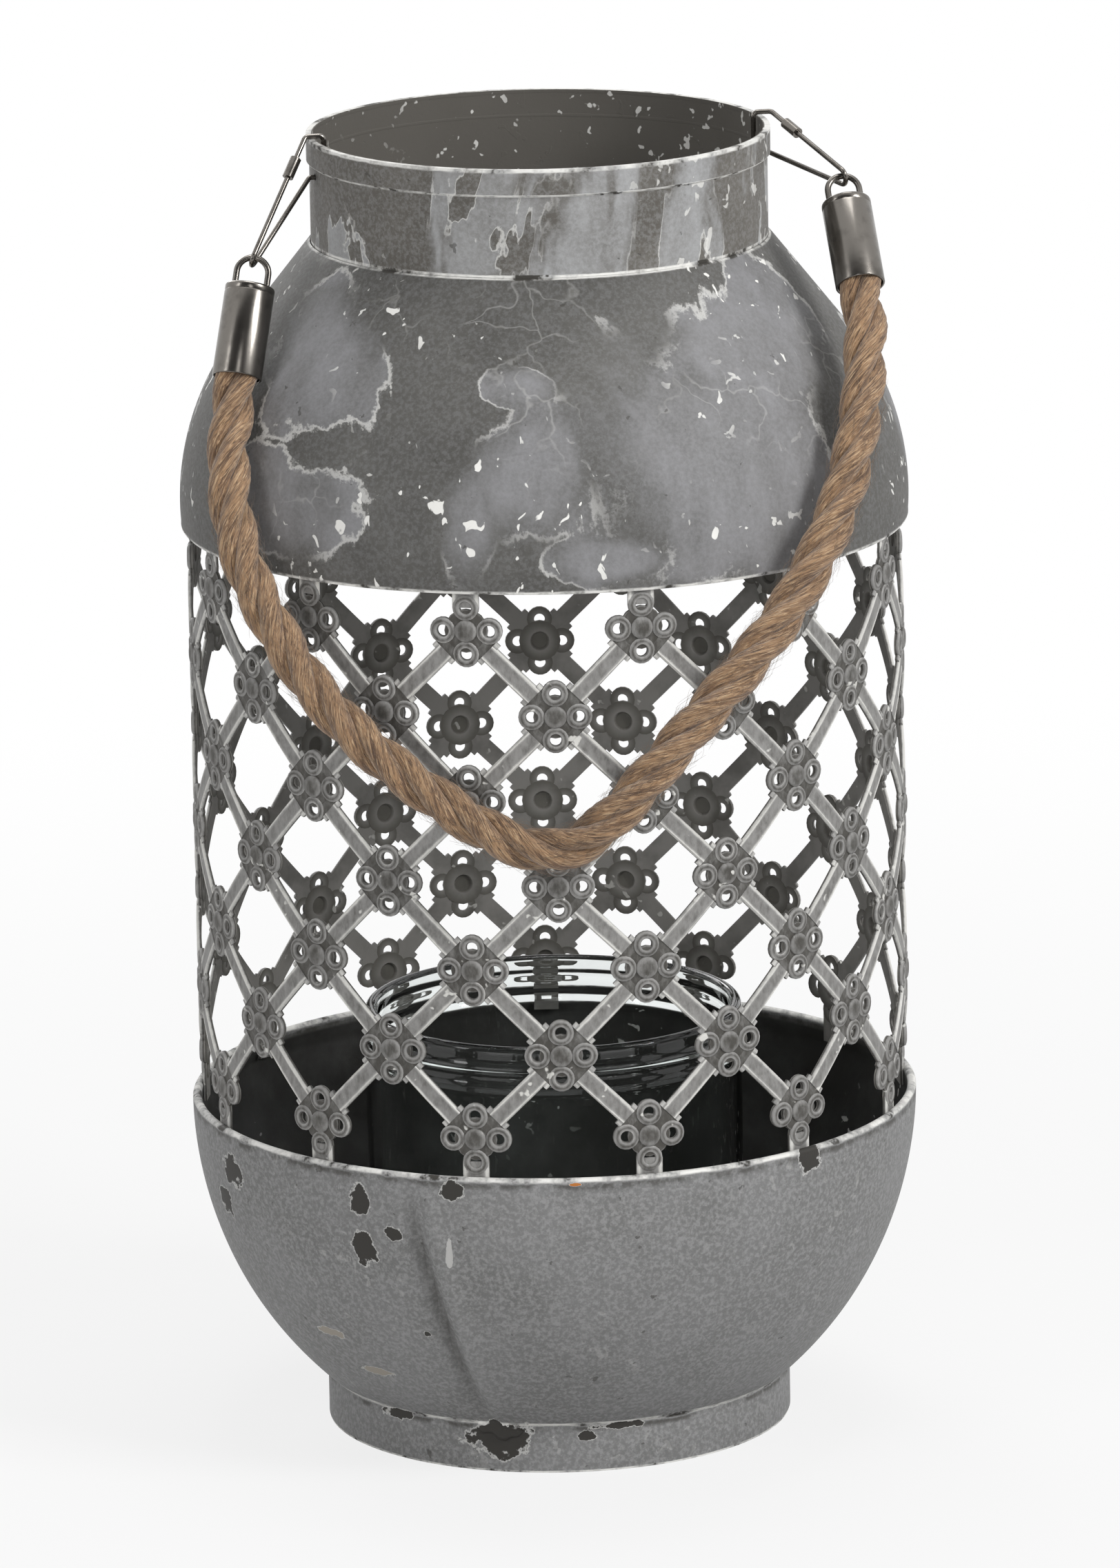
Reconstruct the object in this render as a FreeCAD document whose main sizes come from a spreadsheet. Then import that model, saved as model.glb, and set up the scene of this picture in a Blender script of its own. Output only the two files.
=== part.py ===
"""Candle lantern: sheet-metal bowl, pierced lattice, dome and neck, a rope handle and a loose glass jar.

Millimetres, +Z up, origin at the centre of the foot on the table, the rope hanging on the front (-Y).
"""
import FreeCAD, Part
import math
import os
import Sketcher

V = FreeCAD.Vector
UP = V(0, 0, 1)
FULL_TURN = 360
QUARTER_TURN = 90

SIZES = {
    "sheet": 1.2,
    "foot_height": 13.8,
    "foot_wall": 2.0,
    "foot_inset": 0.4,
    "bowl_rim_diameter": 200.0,
    "bowl_rim_height": 92.4,
    "bowl_curve": 105.0,
    "bowl_hem_depth": 4.0,
    "lattice_gap": 0.1,
    "lattice_sheet": 1.0,
    "lattice_tab_depth": 4.6,
    "lattice_columns": 13,
    "lattice_rows": 7,
    "lattice_row_pitch": 23.0,
    "lattice_top_margin": 9.3,
    "lattice_turn": 15.0,
    "petal_offset": 6.3,
    "petal_radius": 3.4,
    "petal_hole_radius": 1.8,
    "boss_radius": 3.4,
    "bar_width": 3.9,
    "dome_gap": 0.3,
    "dome_rim_height": 253.3,
    "dome_curve": 72.5,
    "dome_widest_rise": 6.3,
    "dome_lip_out": 0.6,
    "dome_lip_in": 1.6,
    "dome_lip_thickness": 1.6,
    "neck_diameter": 124.2,
    "neck_base_height": 331.0,
    "neck_height": 29.6,
    "neck_sheet": 1.0,
    "neck_band_height": 7.0,
    "neck_band_thickness": 0.8,
    "glass_diameter": 104.0,
    "glass_height": 101.5,
    "glass_wall": 3.0,
    "glass_floor": 5.0,
    "glass_mouth_round": 1.7,
    "glass_bead_drop": 6.0,
    "glass_bead_pitch": 5.6,
    "glass_bead_half": 1.3,
    "glass_bead_round": 1.6,
    "wire_radius": 0.7,
    "wire_clearance": 0.9,
    "wire_bend": 1.3,
    "wire_end_gap": 0.2,
    "wire_hole_drop": 9.6,
    "wire_hole_radius": 1.0,
    "left_wire_angle": 194.0,
    "right_wire_angle": 10.0,
    "hook_radius": 2.05,
    "sleeve_length": 6.0,
    "sleeve_wall": 0.75,
    "sleeve_clearance": 0.05,
    "sleeve_from_rim": 7.0,
    "eye_wire_radius": 0.85,
    "eye_width": 8.5,
    "eye_stand": 8.0,
    "eye_depth": 3.0,
    "eye_clearance": 0.1,
    "ferrule_diameter": 13.4,
    "ferrule_length": 25.5,
    "ferrule_bore_depth": 4.0,
    "ferrule_edge_round": 0.8,
    "rope_diameter": 12.0,
    "rope_clearance": 0.1,
}

# The rope's route, from the floor of the left cap's bore, down in front of the lantern, to the right cap.
ROPE_ROUTE = [
    V(-81.1, -46.5, 306.4), V(-83.4, -52.6, 293.2), V(-84.4, -62.8, 280.0), V(-83.0, -69.6, 266.2),
    V(-78.4, -77.5, 252.6), V(-69.4, -86.0, 237.0), V(-59.4, -94.0, 223.8), V(-45.6, -100.5, 210.9),
    V(-28.6, -105.0, 198.7), V(-17.8, -106.5, 191.6), V(-7.8, -107.5, 186.7), V(2.2, -107.8, 185.2),
    V(11.4, -107.5, 189.5), V(19.7, -106.5, 197.1), V(30.0, -104.5, 208.4), V(43.0, -100.5, 222.4),
    V(55.2, -95.5, 235.3), V(65.9, -88.5, 248.1), V(75.0, -79.8, 263.0), V(81.6, -69.8, 278.0),
    V(85.3, -57.5, 293.5), V(86.4, -49.8, 303.2), V(87.2, -41.1, 314.7), V(85.4, -32.6, 325.6),
]
ROPE_ARC_SHARE = 0.45
HOOK_ROUNDING = 0.98
SHORTEST_RUN = 0.001
# Sides of the polygons that stand for the lattice's round plates and holes.
PLATE_SIDES = 8
HOLE_SIDES = 6
# Where the dome's arc is first drawn to end, in degrees, before tangency moves it.
DOME_ARC_END = 40
# The place of the centre among an arc's points in a sketch.
CENTRE_POINT = 3

doc = FreeCAD.newDocument("CandleLantern")
sheet = doc.addObject("Spreadsheet::Sheet", "Sizes")
for row, (alias, value) in enumerate(SIZES.items(), start=1):
    sheet.set(f"A{row}", alias)
    sheet.set(f"B{row}", str(value))
    sheet.setAlias(f"B{row}", alias)
doc.recompute()


def size(alias):
    """Return a driving size from the sheet."""
    return float(sheet.get(alias))


def sizes_text(text):
    """Write each name of the sheet in an expression with the sheet's own name before it."""
    for alias in sorted(SIZES, key=len, reverse=True):
        text = text.replace(f"<{alias}>", f"Sizes.{alias}")
    return text


def worked_out(text):
    """Return the value of an expression on the sheet."""
    result = sheet.evalExpression(sizes_text(text))
    return float(getattr(result, "Value", result))


# Places that several pieces share, as expressions on the sheet.
BOWL_RIM = "<bowl_rim_diameter> / 2"
BOWL_FLOOR = f"({BOWL_RIM} - <bowl_curve> + sqrt(<bowl_curve>^2 - (<bowl_rim_height> - <foot_height>)^2))"
BOWL_INNER = "(<bowl_curve> - <sheet>)"
FLOOR_TOP = "(<foot_height> + <sheet>)"
LATTICE_OUTER = f"({BOWL_RIM} - 2 * <sheet> - <lattice_gap>)"
DOME_RIM = f"({LATTICE_OUTER} + <dome_gap> + <sheet>)"
DOME_CENTRE = f"({DOME_RIM} - sqrt(<dome_curve>^2 - <dome_widest_rise>^2))"
DOME_CENTRE_HEIGHT = "(<dome_rim_height> + <dome_widest_rise>)"
NECK_OUTER = "(<neck_diameter> / 2)"
NECK_INNER = f"({NECK_OUTER} - <neck_sheet>)"
NECK_TOP = "(<neck_base_height> + <neck_height>)"
GLASS_OUTER = "(<glass_diameter> / 2)"
GLASS_TOP = f"({FLOOR_TOP} + <glass_height>)"


class Profile:
    """A closed outline in the XZ plane, drawn corner by corner and revolved about the vertical axis."""

    def __init__(self, label):
        self.body = doc.addObject("PartDesign::Body", f"{label}_body")
        self.sketch = self.body.newObject("Sketcher::SketchObject", f"{label}_profile")
        plane = next(item for item in self.body.Origin.OriginFeatures if item.Role == "XZ_Plane")
        self.sketch.AttachmentSupport = [(plane, "")]
        self.sketch.MapMode = "FlatFace"
        self.corners = []
        self.arcs = {}

    def corner(self, radius, height, free=False):
        """Add a corner. A free one starts at this place and is then placed by its tangency."""
        self.corners.append((radius, height, free))

    def arc_to(self, radius, height, curve, centre, free=False):
        """Add a corner that an arc of the given radius reaches from the last one, about a centre."""
        self.arcs[len(self.corners) - 1] = (curve, centre)
        self.corner(radius, height, free)

    def revolve(self, label=None):
        """Draw the outline with its constraints, revolve it and return the body."""
        points = [V(worked_out(radius), worked_out(height), 0) for radius, height, _ in self.corners]
        ends = [self._side(index, points) for index in range(len(points))]
        for index, (_, end) in enumerate(ends):
            after = ends[(index + 1) % len(ends)][0]
            self._join(index, end, after)
        for index, (radius, height, free) in enumerate(self.corners):
            if not free:
                self._place(*ends[index][0], radius, height)
        for index, (curve, _) in self.arcs.items():
            self._bind("Radius", (index, worked_out(curve)), curve)
        turn = self.body.newObject("PartDesign::Revolution", f"{self.body.Name}_turn")
        turn.Profile = self.sketch
        turn.ReferenceAxis = (self.sketch, ["V_Axis"])
        turn.Angle = FULL_TURN
        self.body.Tip = turn
        if label:
            self.body.Label = label
        return self.body

    def _side(self, index, points):
        """Draw the side from this corner to the next; return its start and end as (geometry, point)."""
        start = points[index]
        end = points[(index + 1) % len(points)]
        if index not in self.arcs:
            geometry = self.sketch.addGeometry(Part.LineSegment(start, end), False)
            return (geometry, 1), (geometry, 2)
        curve, (centre_radius, centre_height) = self.arcs[index]
        centre = V(worked_out(centre_radius), worked_out(centre_height), 0)
        circle = Part.Circle(centre, V(0, 0, 1), worked_out(curve))
        first = math.atan2(start.y - centre.y, start.x - centre.x)
        last = math.atan2(end.y - centre.y, end.x - centre.x)
        forward = (last - first) % (2 * math.pi) < math.pi
        span = (first, last) if forward else (last, first)
        geometry = self.sketch.addGeometry(Part.ArcOfCircle(circle, *span), False)
        return ((geometry, 1), (geometry, 2)) if forward else ((geometry, 2), (geometry, 1))

    def _join(self, index, end, after):
        """Join a side's end to the next side's start, smoothly where the corner is a free one."""
        free = self.corners[(index + 1) % len(self.corners)][2]
        kind = "Tangent" if free else "Coincident"
        self.sketch.addConstraint(Sketcher.Constraint(kind, *end, *after))
        for side in (index, index + 1):
            if free and side in self.arcs:
                level = self.arcs[side][1][1]
                self._bind("DistanceY", (-1, 1, side, CENTRE_POINT, worked_out(level)), level)

    def _place(self, geometry, point, radius, height):
        """Fix a corner by its radius and height."""
        for kind, text, axis in (("DistanceX", radius, -2), ("DistanceY", height, -1)):
            value = worked_out(text)
            if value == 0:
                self.sketch.addConstraint(Sketcher.Constraint("PointOnObject", geometry, point, axis))
            else:
                self._bind(kind, (-1, 1, geometry, point, value), text)

    def _bind(self, kind, where, text):
        """Add a dimension and bind it to the sheet."""
        number = self.sketch.addConstraint(Sketcher.Constraint(kind, *where))
        self.sketch.setExpression(f"Constraints[{number}]", sizes_text(text))


def rounded_wire(points, radii):
    """Return an open wire of straight runs joined by tangent arcs, one radius for each corner."""
    edges = []
    run_start = points[0]
    for index in range(1, len(points) - 1):
        here = points[index]
        back = (points[index - 1] - here).normalize()
        ahead = (points[index + 1] - here).normalize()
        half_turn = (math.pi - back.getAngle(ahead)) / 2
        reach = radii[index] * math.tan(half_turn)
        inward = (back + ahead).normalize() * (radii[index] / math.cos(half_turn) - radii[index])
        if (here + back * reach - run_start).Length > SHORTEST_RUN:
            edges.append(Part.LineSegment(run_start, here + back * reach).toShape())
        edges.append(Part.Arc(here + back * reach, here + inward, here + ahead * reach).toShape())
        run_start = here + ahead * reach
    edges.append(Part.LineSegment(run_start, points[-1]).toShape())
    return Part.Wire(edges)


def tube_along(wire, radius):
    """Return a solid round tube along a wire."""
    start = wire.Edges[0]
    point = start.valueAt(start.FirstParameter)
    direction = start.tangentAt(start.FirstParameter)
    section = Part.Wire(Part.makeCircle(radius, point, direction))
    return wire.makePipeShell([section], True, False)


def piece(label, shape):
    """Add a finished shape as an object of the document."""
    item = doc.addObject("Part::Feature", label)
    item.Label = label
    item.Shape = shape
    return item


def bound(item, **expressions):
    """Bind an object's properties to expressions on the sheet."""
    for name, text in expressions.items():
        item.setExpression(name.replace("__", "."), sizes_text(text))
    return item


def primitive(kind, name, **expressions):
    """Add a Part primitive whose sizes are bound to the sheet."""
    return bound(doc.addObject(kind, name), **expressions)


def cut(label, base, tool):
    """Add the difference of two objects."""
    item = doc.addObject("Part::Cut", label)
    item.Base = base
    item.Tool = tool
    item.Label = label
    return item


def frame_along(axis, side):
    """Return the rotation whose Z lies along axis and whose X lies as near as it can to side."""
    across = (side - axis * side.dot(axis)).normalize()
    return FreeCAD.Rotation(across, axis.cross(across), axis, "ZXY")


def foot_ring():
    """The straight ring under the bowl."""
    outer = f"({BOWL_FLOOR} - <foot_inset>)"
    ring = Profile("foot_ring")
    ring.corner(f"{outer} - <foot_wall>", "0")
    ring.corner(outer, "0")
    ring.corner(outer, "<foot_height>")
    ring.corner(f"{outer} - <foot_wall>", "<foot_height>")
    return ring.revolve("foot_ring")


def bowl():
    """The half-round bowl with a flat floor and a rim folded to the inside."""
    centre = (f"{BOWL_RIM} - <bowl_curve>", "<bowl_rim_height>")
    hem_foot = "<bowl_rim_height> - <bowl_hem_depth>"
    floor_drop = f"(<bowl_rim_height> - {FLOOR_TOP})"
    shell = Profile("bowl")
    shell.corner("0", "<foot_height>")
    shell.corner(BOWL_FLOOR, "<foot_height>")
    shell.arc_to(BOWL_RIM, "<bowl_rim_height>", "<bowl_curve>", centre)
    shell.corner(f"{BOWL_RIM} - 2 * <sheet>", "<bowl_rim_height>")
    shell.corner(f"{BOWL_RIM} - 2 * <sheet>", hem_foot)
    shell.corner(f"{BOWL_RIM} - <bowl_curve> + sqrt({BOWL_INNER}^2 - <bowl_hem_depth>^2)", hem_foot)
    floor_edge = f"{BOWL_RIM} - <bowl_curve> + sqrt({BOWL_INNER}^2 - {floor_drop}^2)"
    shell.arc_to(floor_edge, FLOOR_TOP, BOWL_INNER, centre)
    shell.corner("0", FLOOR_TOP)
    return shell.revolve("bowl")


def dome():
    """The bulging shoulder: an arc from the rim, then a straight slope to the flat lip under the neck."""
    centre = (DOME_CENTRE, DOME_CENTRE_HEIGHT)
    inner_curve = "(<dome_curve> - <sheet>)"
    lip_foot = "<neck_base_height> - <dome_lip_thickness>"
    across = math.cos(math.radians(DOME_ARC_END))
    rise = math.sin(math.radians(DOME_ARC_END))
    shell = Profile("dome")
    shell.corner(DOME_RIM, "<dome_rim_height>")
    shell.arc_to(f"{DOME_CENTRE} + <dome_curve> * {across}", f"{DOME_CENTRE_HEIGHT} + <dome_curve> * {rise}",
                 "<dome_curve>", centre, free=True)
    shell.corner(f"{NECK_OUTER} + <dome_lip_out>", "<neck_base_height>")
    shell.corner(f"{NECK_OUTER} - <dome_lip_in>", "<neck_base_height>")
    shell.corner(f"{NECK_OUTER} - <dome_lip_in>", lip_foot)
    inner_end = f"{DOME_CENTRE} + {inner_curve} * {across}"
    shell.corner(inner_end, f"{DOME_CENTRE_HEIGHT} + {inner_curve} * {rise}", free=True)
    shell.arc_to(f"{DOME_CENTRE} + sqrt({inner_curve}^2 - <dome_widest_rise>^2)", "<dome_rim_height>",
                 inner_curve, centre)
    return shell.revolve("dome")


def neck_collar():
    """The straight collar with a folded band at its mouth and a hole for each wire."""
    band_foot = f"{NECK_TOP} - <neck_band_height>"
    wall = Profile("neck")
    wall.corner(NECK_INNER, "<neck_base_height>")
    wall.corner(NECK_OUTER, "<neck_base_height>")
    wall.corner(NECK_OUTER, band_foot)
    wall.corner(f"{NECK_OUTER} + <neck_band_thickness>", band_foot)
    wall.corner(f"{NECK_OUTER} + <neck_band_thickness>", NECK_TOP)
    wall.corner(NECK_INNER, NECK_TOP)
    collar = wall.revolve()
    for side in ("left", "right"):
        drill = primitive("Part::Cylinder", f"{side}_drill", Radius="<wire_hole_radius>", Height=NECK_OUTER,
                          Placement__Base__z=f"{NECK_TOP} - <wire_hole_drop>")
        turn = FreeCAD.Rotation(UP, size(f"{side}_wire_angle"))
        drill.Placement.Rotation = turn.multiply(FreeCAD.Rotation(V(0, 1, 0), QUARTER_TURN))
        bound(drill, Placement__Base__x=f"{NECK_INNER} / 2 * cos(<{side}_wire_angle> * 1deg)",
              Placement__Base__y=f"{NECK_INNER} / 2 * sin(<{side}_wire_angle> * 1deg)")
        last = side == "right"
        collar = cut("neck_collar" if last else "neck_left_drilled", collar, drill)
    return collar


def glass_jar():
    """The loose jar, with a rounded mouth and two beads under it."""
    round_drop = "sqrt(<glass_mouth_round>^2 - (<glass_wall> / 2)^2)"
    bead_depth = "sqrt(<glass_bead_round>^2 - <glass_bead_half>^2)"
    mouth = f"({GLASS_TOP} - <glass_mouth_round> + {round_drop})"
    mouth_centre = (f"{GLASS_OUTER} - <glass_wall> / 2", f"{GLASS_TOP} - <glass_mouth_round>")
    jar = Profile("glass_jar")
    jar.corner("0", FLOOR_TOP)
    jar.corner(GLASS_OUTER, FLOOR_TOP)
    for bead in (1, 0):
        level = f"({GLASS_TOP} - <glass_bead_drop> - {bead} * <glass_bead_pitch>)"
        jar.corner(GLASS_OUTER, f"{level} - <glass_bead_half>")
        jar.arc_to(GLASS_OUTER, f"{level} + <glass_bead_half>", "<glass_bead_round>",
                   (f"{GLASS_OUTER} - {bead_depth}", level))
    jar.corner(GLASS_OUTER, mouth)
    jar.arc_to(f"{GLASS_OUTER} - <glass_wall>", mouth, "<glass_mouth_round>", mouth_centre)
    jar.corner(f"{GLASS_OUTER} - <glass_wall>", f"{FLOOR_TOP} + <glass_floor>")
    jar.corner("0", f"{FLOOR_TOP} + <glass_floor>")
    return jar.revolve("glass_jar")


def flat_face(corners):
    """Return a flat face in the YZ plane that looks along +X."""
    face = Part.Face(Part.makePolygon(corners + corners[:1]))
    if face.normalAt(0, 0).x > 0:
        return face
    return flat_face(corners[::-1])


def polygon_face(centre, radius, sides, turn=0.0):
    """Return a flat regular polygon whose sides lie about on the circle of the given radius."""
    reach = radius / math.sqrt(math.cos(math.pi / sides))
    angles = [turn + 2 * math.pi * index / sides for index in range(sides)]
    return flat_face([centre + V(0, reach * math.cos(angle), reach * math.sin(angle)) for angle in angles])


def strip_face(start, end, width):
    """Return a flat straight strip."""
    along = (end - start).normalize()
    side = V(0, -along.z, along.y) * (width / 2)
    return flat_face([start + side, end + side, end - side, start - side])


def lattice_column():
    """Return one column of the lattice as a curved pierced solid about the +X direction.

    Whole flowers stand on the column's middle line in the odd rows and half flowers on its edges in the even
    rows, so columns meet edge to edge. Flowers and bars are drawn flat and cut through the rolled sheet.
    """
    outer = worked_out(LATTICE_OUTER)
    half_angle = math.pi / size("lattice_columns")
    edge = outer * math.sin(half_angle)
    rows = int(size("lattice_rows"))
    top = size("dome_rim_height") - size("lattice_top_margin")
    levels = [top - index * size("lattice_row_pitch") for index in range(rows)]
    petal_places = [(0, 1), (1, 0), (0, -1), (-1, 0)]
    plates = []
    holes = []
    for index, level in enumerate(levels):
        for across in ((0,) if index % 2 == 0 else (-edge, edge)):
            heart = V(0, across, level)
            plates.append(polygon_face(heart, size("boss_radius"), PLATE_SIDES, math.pi / PLATE_SIDES))
            for right, up in petal_places:
                petal = heart + V(0, right, up) * size("petal_offset")
                plates.append(polygon_face(petal, size("petal_radius"), PLATE_SIDES, math.pi / PLATE_SIDES))
                holes.append(polygon_face(petal, size("petal_hole_radius"), HOLE_SIDES))
    for index in range(rows - 1):
        pair = levels[index:index + 2]
        odd, even = pair if index % 2 == 0 else pair[::-1]
        for across in (-edge, edge):
            plates.append(strip_face(V(0, 0, odd), V(0, across, even), size("bar_width")))
    ends = [(levels[0], size("dome_rim_height") + size("lattice_tab_depth")),
            (levels[-1], size("bowl_rim_height") - size("lattice_tab_depth"))]
    for level, tip in ends:
        away = math.copysign(size("petal_offset") + size("petal_hole_radius"), tip - level)
        plates.append(strip_face(V(0, 0, level + away), V(0, 0, tip), 2 * size("petal_radius")))
    flat = plates[0].multiFuse(plates[1:]).removeSplitter().cut(Part.makeCompound(holes))
    pierced = flat.extrude(V(2 * outer, 0, 0))
    low = size("bowl_rim_height") - 2 * size("lattice_tab_depth")
    high = size("dome_rim_height") + 2 * size("lattice_tab_depth")
    angle = math.degrees(2 * half_angle)
    rolled = Part.makeCylinder(outer, high - low, V(0, 0, low), UP, angle)
    core = Part.makeCylinder(outer - size("lattice_sheet"), high - low, V(0, 0, low), UP, FULL_TURN)
    rolled = rolled.cut(core)
    rolled.rotate(V(0, 0, 0), UP, -angle / 2)
    return rolled.common(pierced).Solids[0]


def lattice_screen():
    """The pierced screen: equal columns round the lantern, turned as photographed."""
    column = lattice_column()
    count = int(size("lattice_columns"))
    copies = []
    for index in range(count):
        copy = column.copy()
        copy.rotate(V(0, 0, 0), UP, size("lattice_turn") - QUARTER_TURN + FULL_TURN * index / count)
        copies.append(copy)
    return piece("lattice_screen", Part.makeCompound(copies))


class RopeEnd:
    """One end of the rope: where the cap, its eye and the wire loop meet."""

    def __init__(self, side, seat, ahead):
        self.side = side
        self.down = (ahead - seat).normalize()
        self.mouth = seat + self.down * size("ferrule_bore_depth")
        self.contact = self.mouth - self.down * (size("ferrule_length") + size("eye_stand"))
        angle = math.radians(size(f"{side}_wire_angle"))
        self.outward = V(math.cos(angle), math.sin(angle), 0)

    def at_neck(self, radius, height):
        """Return a place on the neck where the wire is."""
        return self.outward * radius + UP * height


rope_ends = [RopeEnd("left", ROPE_ROUTE[0], ROPE_ROUTE[1]), RopeEnd("right", ROPE_ROUTE[-1], ROPE_ROUTE[-2])]
SWING = (rope_ends[1].contact - rope_ends[0].contact).normalize()


def ferrule(end):
    """The nickel cap on one end of the rope, with two holes in its top for the eye."""
    radius = "(<ferrule_diameter> / 2)"
    bore = "(<rope_diameter> / 2 + <rope_clearance>)"
    shoulder = "<ferrule_length> - <ferrule_edge_round>"
    cap = Profile(f"{end.side}_ferrule")
    cap.corner(bore, "0")
    cap.corner(radius, "0")
    cap.corner(radius, shoulder)
    cap.arc_to(f"{radius} - <ferrule_edge_round>", "<ferrule_length>", "<ferrule_edge_round>",
               (f"{radius} - <ferrule_edge_round>", shoulder))
    cap.corner("0", "<ferrule_length>")
    cap.corner("0", "<ferrule_bore_depth>")
    cap.corner(bore, "<ferrule_bore_depth>")
    drilled = cap.revolve()
    for name, sign in (("first", -1), ("second", 1)):
        drill = primitive("Part::Cylinder", f"{end.side}_{name}_eye_drill",
                          Radius="<eye_wire_radius> + <eye_clearance>", Height="2 * <eye_depth>",
                          Placement__Base__x=f"{sign} * <eye_width> / 2",
                          Placement__Base__z="<ferrule_length> - <eye_depth> - <eye_clearance>")
        label = f"{end.side}_ferrule" if name == "second" else f"{end.side}_cap_drilled"
        drilled = cut(label, drilled, drill)
    drilled.Placement = FreeCAD.Placement(end.mouth, frame_along(end.down * -1, SWING))
    return drilled


def eye_ring(end):
    """The bent wire eye that stands in the top of a cap."""
    half = size("eye_width") / 2
    foot = size("ferrule_length") - size("eye_depth")
    top = size("ferrule_length") + size("eye_stand")
    points = [V(-half, 0, foot), V(-half, 0, top), V(half, 0, top), V(half, 0, foot)]
    wire = rounded_wire(points, [0, half, half, 0])
    item = piece(f"{end.side}_eye_ring", tube_along(wire, size("eye_wire_radius")))
    item.Placement = FreeCAD.Placement(end.mouth, frame_along(end.down * -1, SWING))
    return item


def loop_corners(end):
    """Return the corners of a wire loop: round the eye, over the rim, and back through the neck's hole."""
    top = worked_out(NECK_TOP)
    away = size("wire_radius") + size("wire_clearance")
    inside = worked_out(NECK_INNER) - away
    rim_outside = worked_out(NECK_OUTER) + size("neck_band_thickness") + away
    hole = top - size("wire_hole_drop")
    over_rim = end.at_neck(rim_outside, top + away)
    at_hole = end.at_neck(worked_out(NECK_OUTER) + away, hole)
    pull = ((over_rim + at_hole) * 0.5 - end.contact).normalize()
    spread = pull.cross(SWING).normalize()
    spread = spread if spread.z > 0 else spread * -1
    hook = end.contact - pull * size("hook_radius")
    return [hook + spread * size("hook_radius"), over_rim, end.at_neck(inside, top + away),
            end.at_neck(inside, hole), at_hole, hook - spread * size("hook_radius")]


def sleeve_place(end):
    """Return where the sleeve starts on the upper strand, and the direction from the rim to the hook."""
    hook, over_rim = loop_corners(end)[:2]
    along = (hook - over_rim).normalize()
    return over_rim + along * size("sleeve_from_rim"), along


def wire_loop(end):
    """The nickel wire that ties the eye to the neck; its two ends meet inside the sleeve."""
    upper_hook, over_rim, inside_top, inside_hole, at_hole, lower_hook = loop_corners(end)
    start, along = sleeve_place(end)
    middle = start + along * (size("sleeve_length") / 2)
    half_gap = along * (size("wire_end_gap") / 2)
    points = [middle + half_gap, upper_hook, lower_hook, at_hole,
              inside_hole, inside_top, over_rim, middle - half_gap]
    bend = size("wire_bend")
    hook = size("hook_radius") * HOOK_ROUNDING
    wire = rounded_wire(points, [0, hook, hook, bend, bend, bend, bend, 0])
    return piece(f"{end.side}_wire_loop", tube_along(wire, size("wire_radius")))


def loop_sleeve(end):
    """The crimped sleeve on the upper strand of a wire loop."""
    start, along = sleeve_place(end)
    bore = "<wire_radius> + <sleeve_clearance>"
    outside = primitive("Part::Cylinder", f"{end.side}_sleeve_outside",
                        Radius=f"{bore} + <sleeve_wall>", Height="<sleeve_length>")
    inside = primitive("Part::Cylinder", f"{end.side}_sleeve_bore", Radius=bore, Height="<sleeve_length>")
    sleeve = cut(f"{end.side}_loop_sleeve", outside, inside)
    sleeve.Placement = FreeCAD.Placement(start, FreeCAD.Rotation(UP, along))
    return sleeve


def rope_handle():
    """The rope, a plain tube along its route; the arcs are as large as the runs allow."""
    radii = [0.0] * len(ROPE_ROUTE)
    for index in range(1, len(ROPE_ROUTE) - 1):
        back = ROPE_ROUTE[index - 1] - ROPE_ROUTE[index]
        ahead = ROPE_ROUTE[index + 1] - ROPE_ROUTE[index]
        half_turn = (math.pi - back.getAngle(ahead)) / 2
        radii[index] = ROPE_ARC_SHARE * min(back.Length, ahead.Length) / math.tan(half_turn)
    wire = rounded_wire(ROPE_ROUTE, radii)
    print("rope length", round(wire.Length, 1))
    return piece("rope_handle", tube_along(wire, size("rope_diameter") / 2))


pieces = [foot_ring(), bowl(), lattice_screen(), dome(), neck_collar(), glass_jar(), rope_handle()]
for rope_end in rope_ends:
    pieces += [ferrule(rope_end), eye_ring(rope_end), wire_loop(rope_end), loop_sleeve(rope_end)]
doc.recompute()

failed = [item.Name for item in doc.Objects if {"Invalid", "Error"} & set(item.State)]
if failed:
    raise RuntimeError(f"these objects failed: {failed}")
for item in pieces:
    if item.Shape.isNull() or not item.Shape.isValid():
        raise RuntimeError(f"{item.Label} has no valid shape")
    print(item.Label, len(item.Shape.Solids), "solids,", round(item.Shape.Volume, 1), "mm3")

os.makedirs("parts", exist_ok=True)
for item in pieces:
    item.Shape.exportStep(f"parts/{item.Label}.step")
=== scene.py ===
"""Looks of a weathered candle lantern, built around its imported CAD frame."""

import logging
import math
import random
from collections.abc import Callable, Sequence
from dataclasses import dataclass, field
from enum import Enum
from functools import cached_property

import bpy
import numpy as np
from mathutils import Matrix, Vector


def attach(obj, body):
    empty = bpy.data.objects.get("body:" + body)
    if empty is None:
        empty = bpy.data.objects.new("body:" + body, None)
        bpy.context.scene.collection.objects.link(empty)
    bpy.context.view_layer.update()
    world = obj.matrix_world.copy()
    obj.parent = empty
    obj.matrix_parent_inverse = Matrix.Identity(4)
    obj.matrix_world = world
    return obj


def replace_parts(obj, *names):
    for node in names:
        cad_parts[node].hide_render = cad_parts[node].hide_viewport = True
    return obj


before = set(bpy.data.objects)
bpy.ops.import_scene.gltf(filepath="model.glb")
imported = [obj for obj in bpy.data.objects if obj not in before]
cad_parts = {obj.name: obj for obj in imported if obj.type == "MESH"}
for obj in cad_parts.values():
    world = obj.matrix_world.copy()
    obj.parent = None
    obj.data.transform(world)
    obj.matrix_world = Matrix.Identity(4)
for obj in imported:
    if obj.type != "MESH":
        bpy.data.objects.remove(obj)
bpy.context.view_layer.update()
LOG = logging.getLogger("lantern")
MM = 0.001
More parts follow.
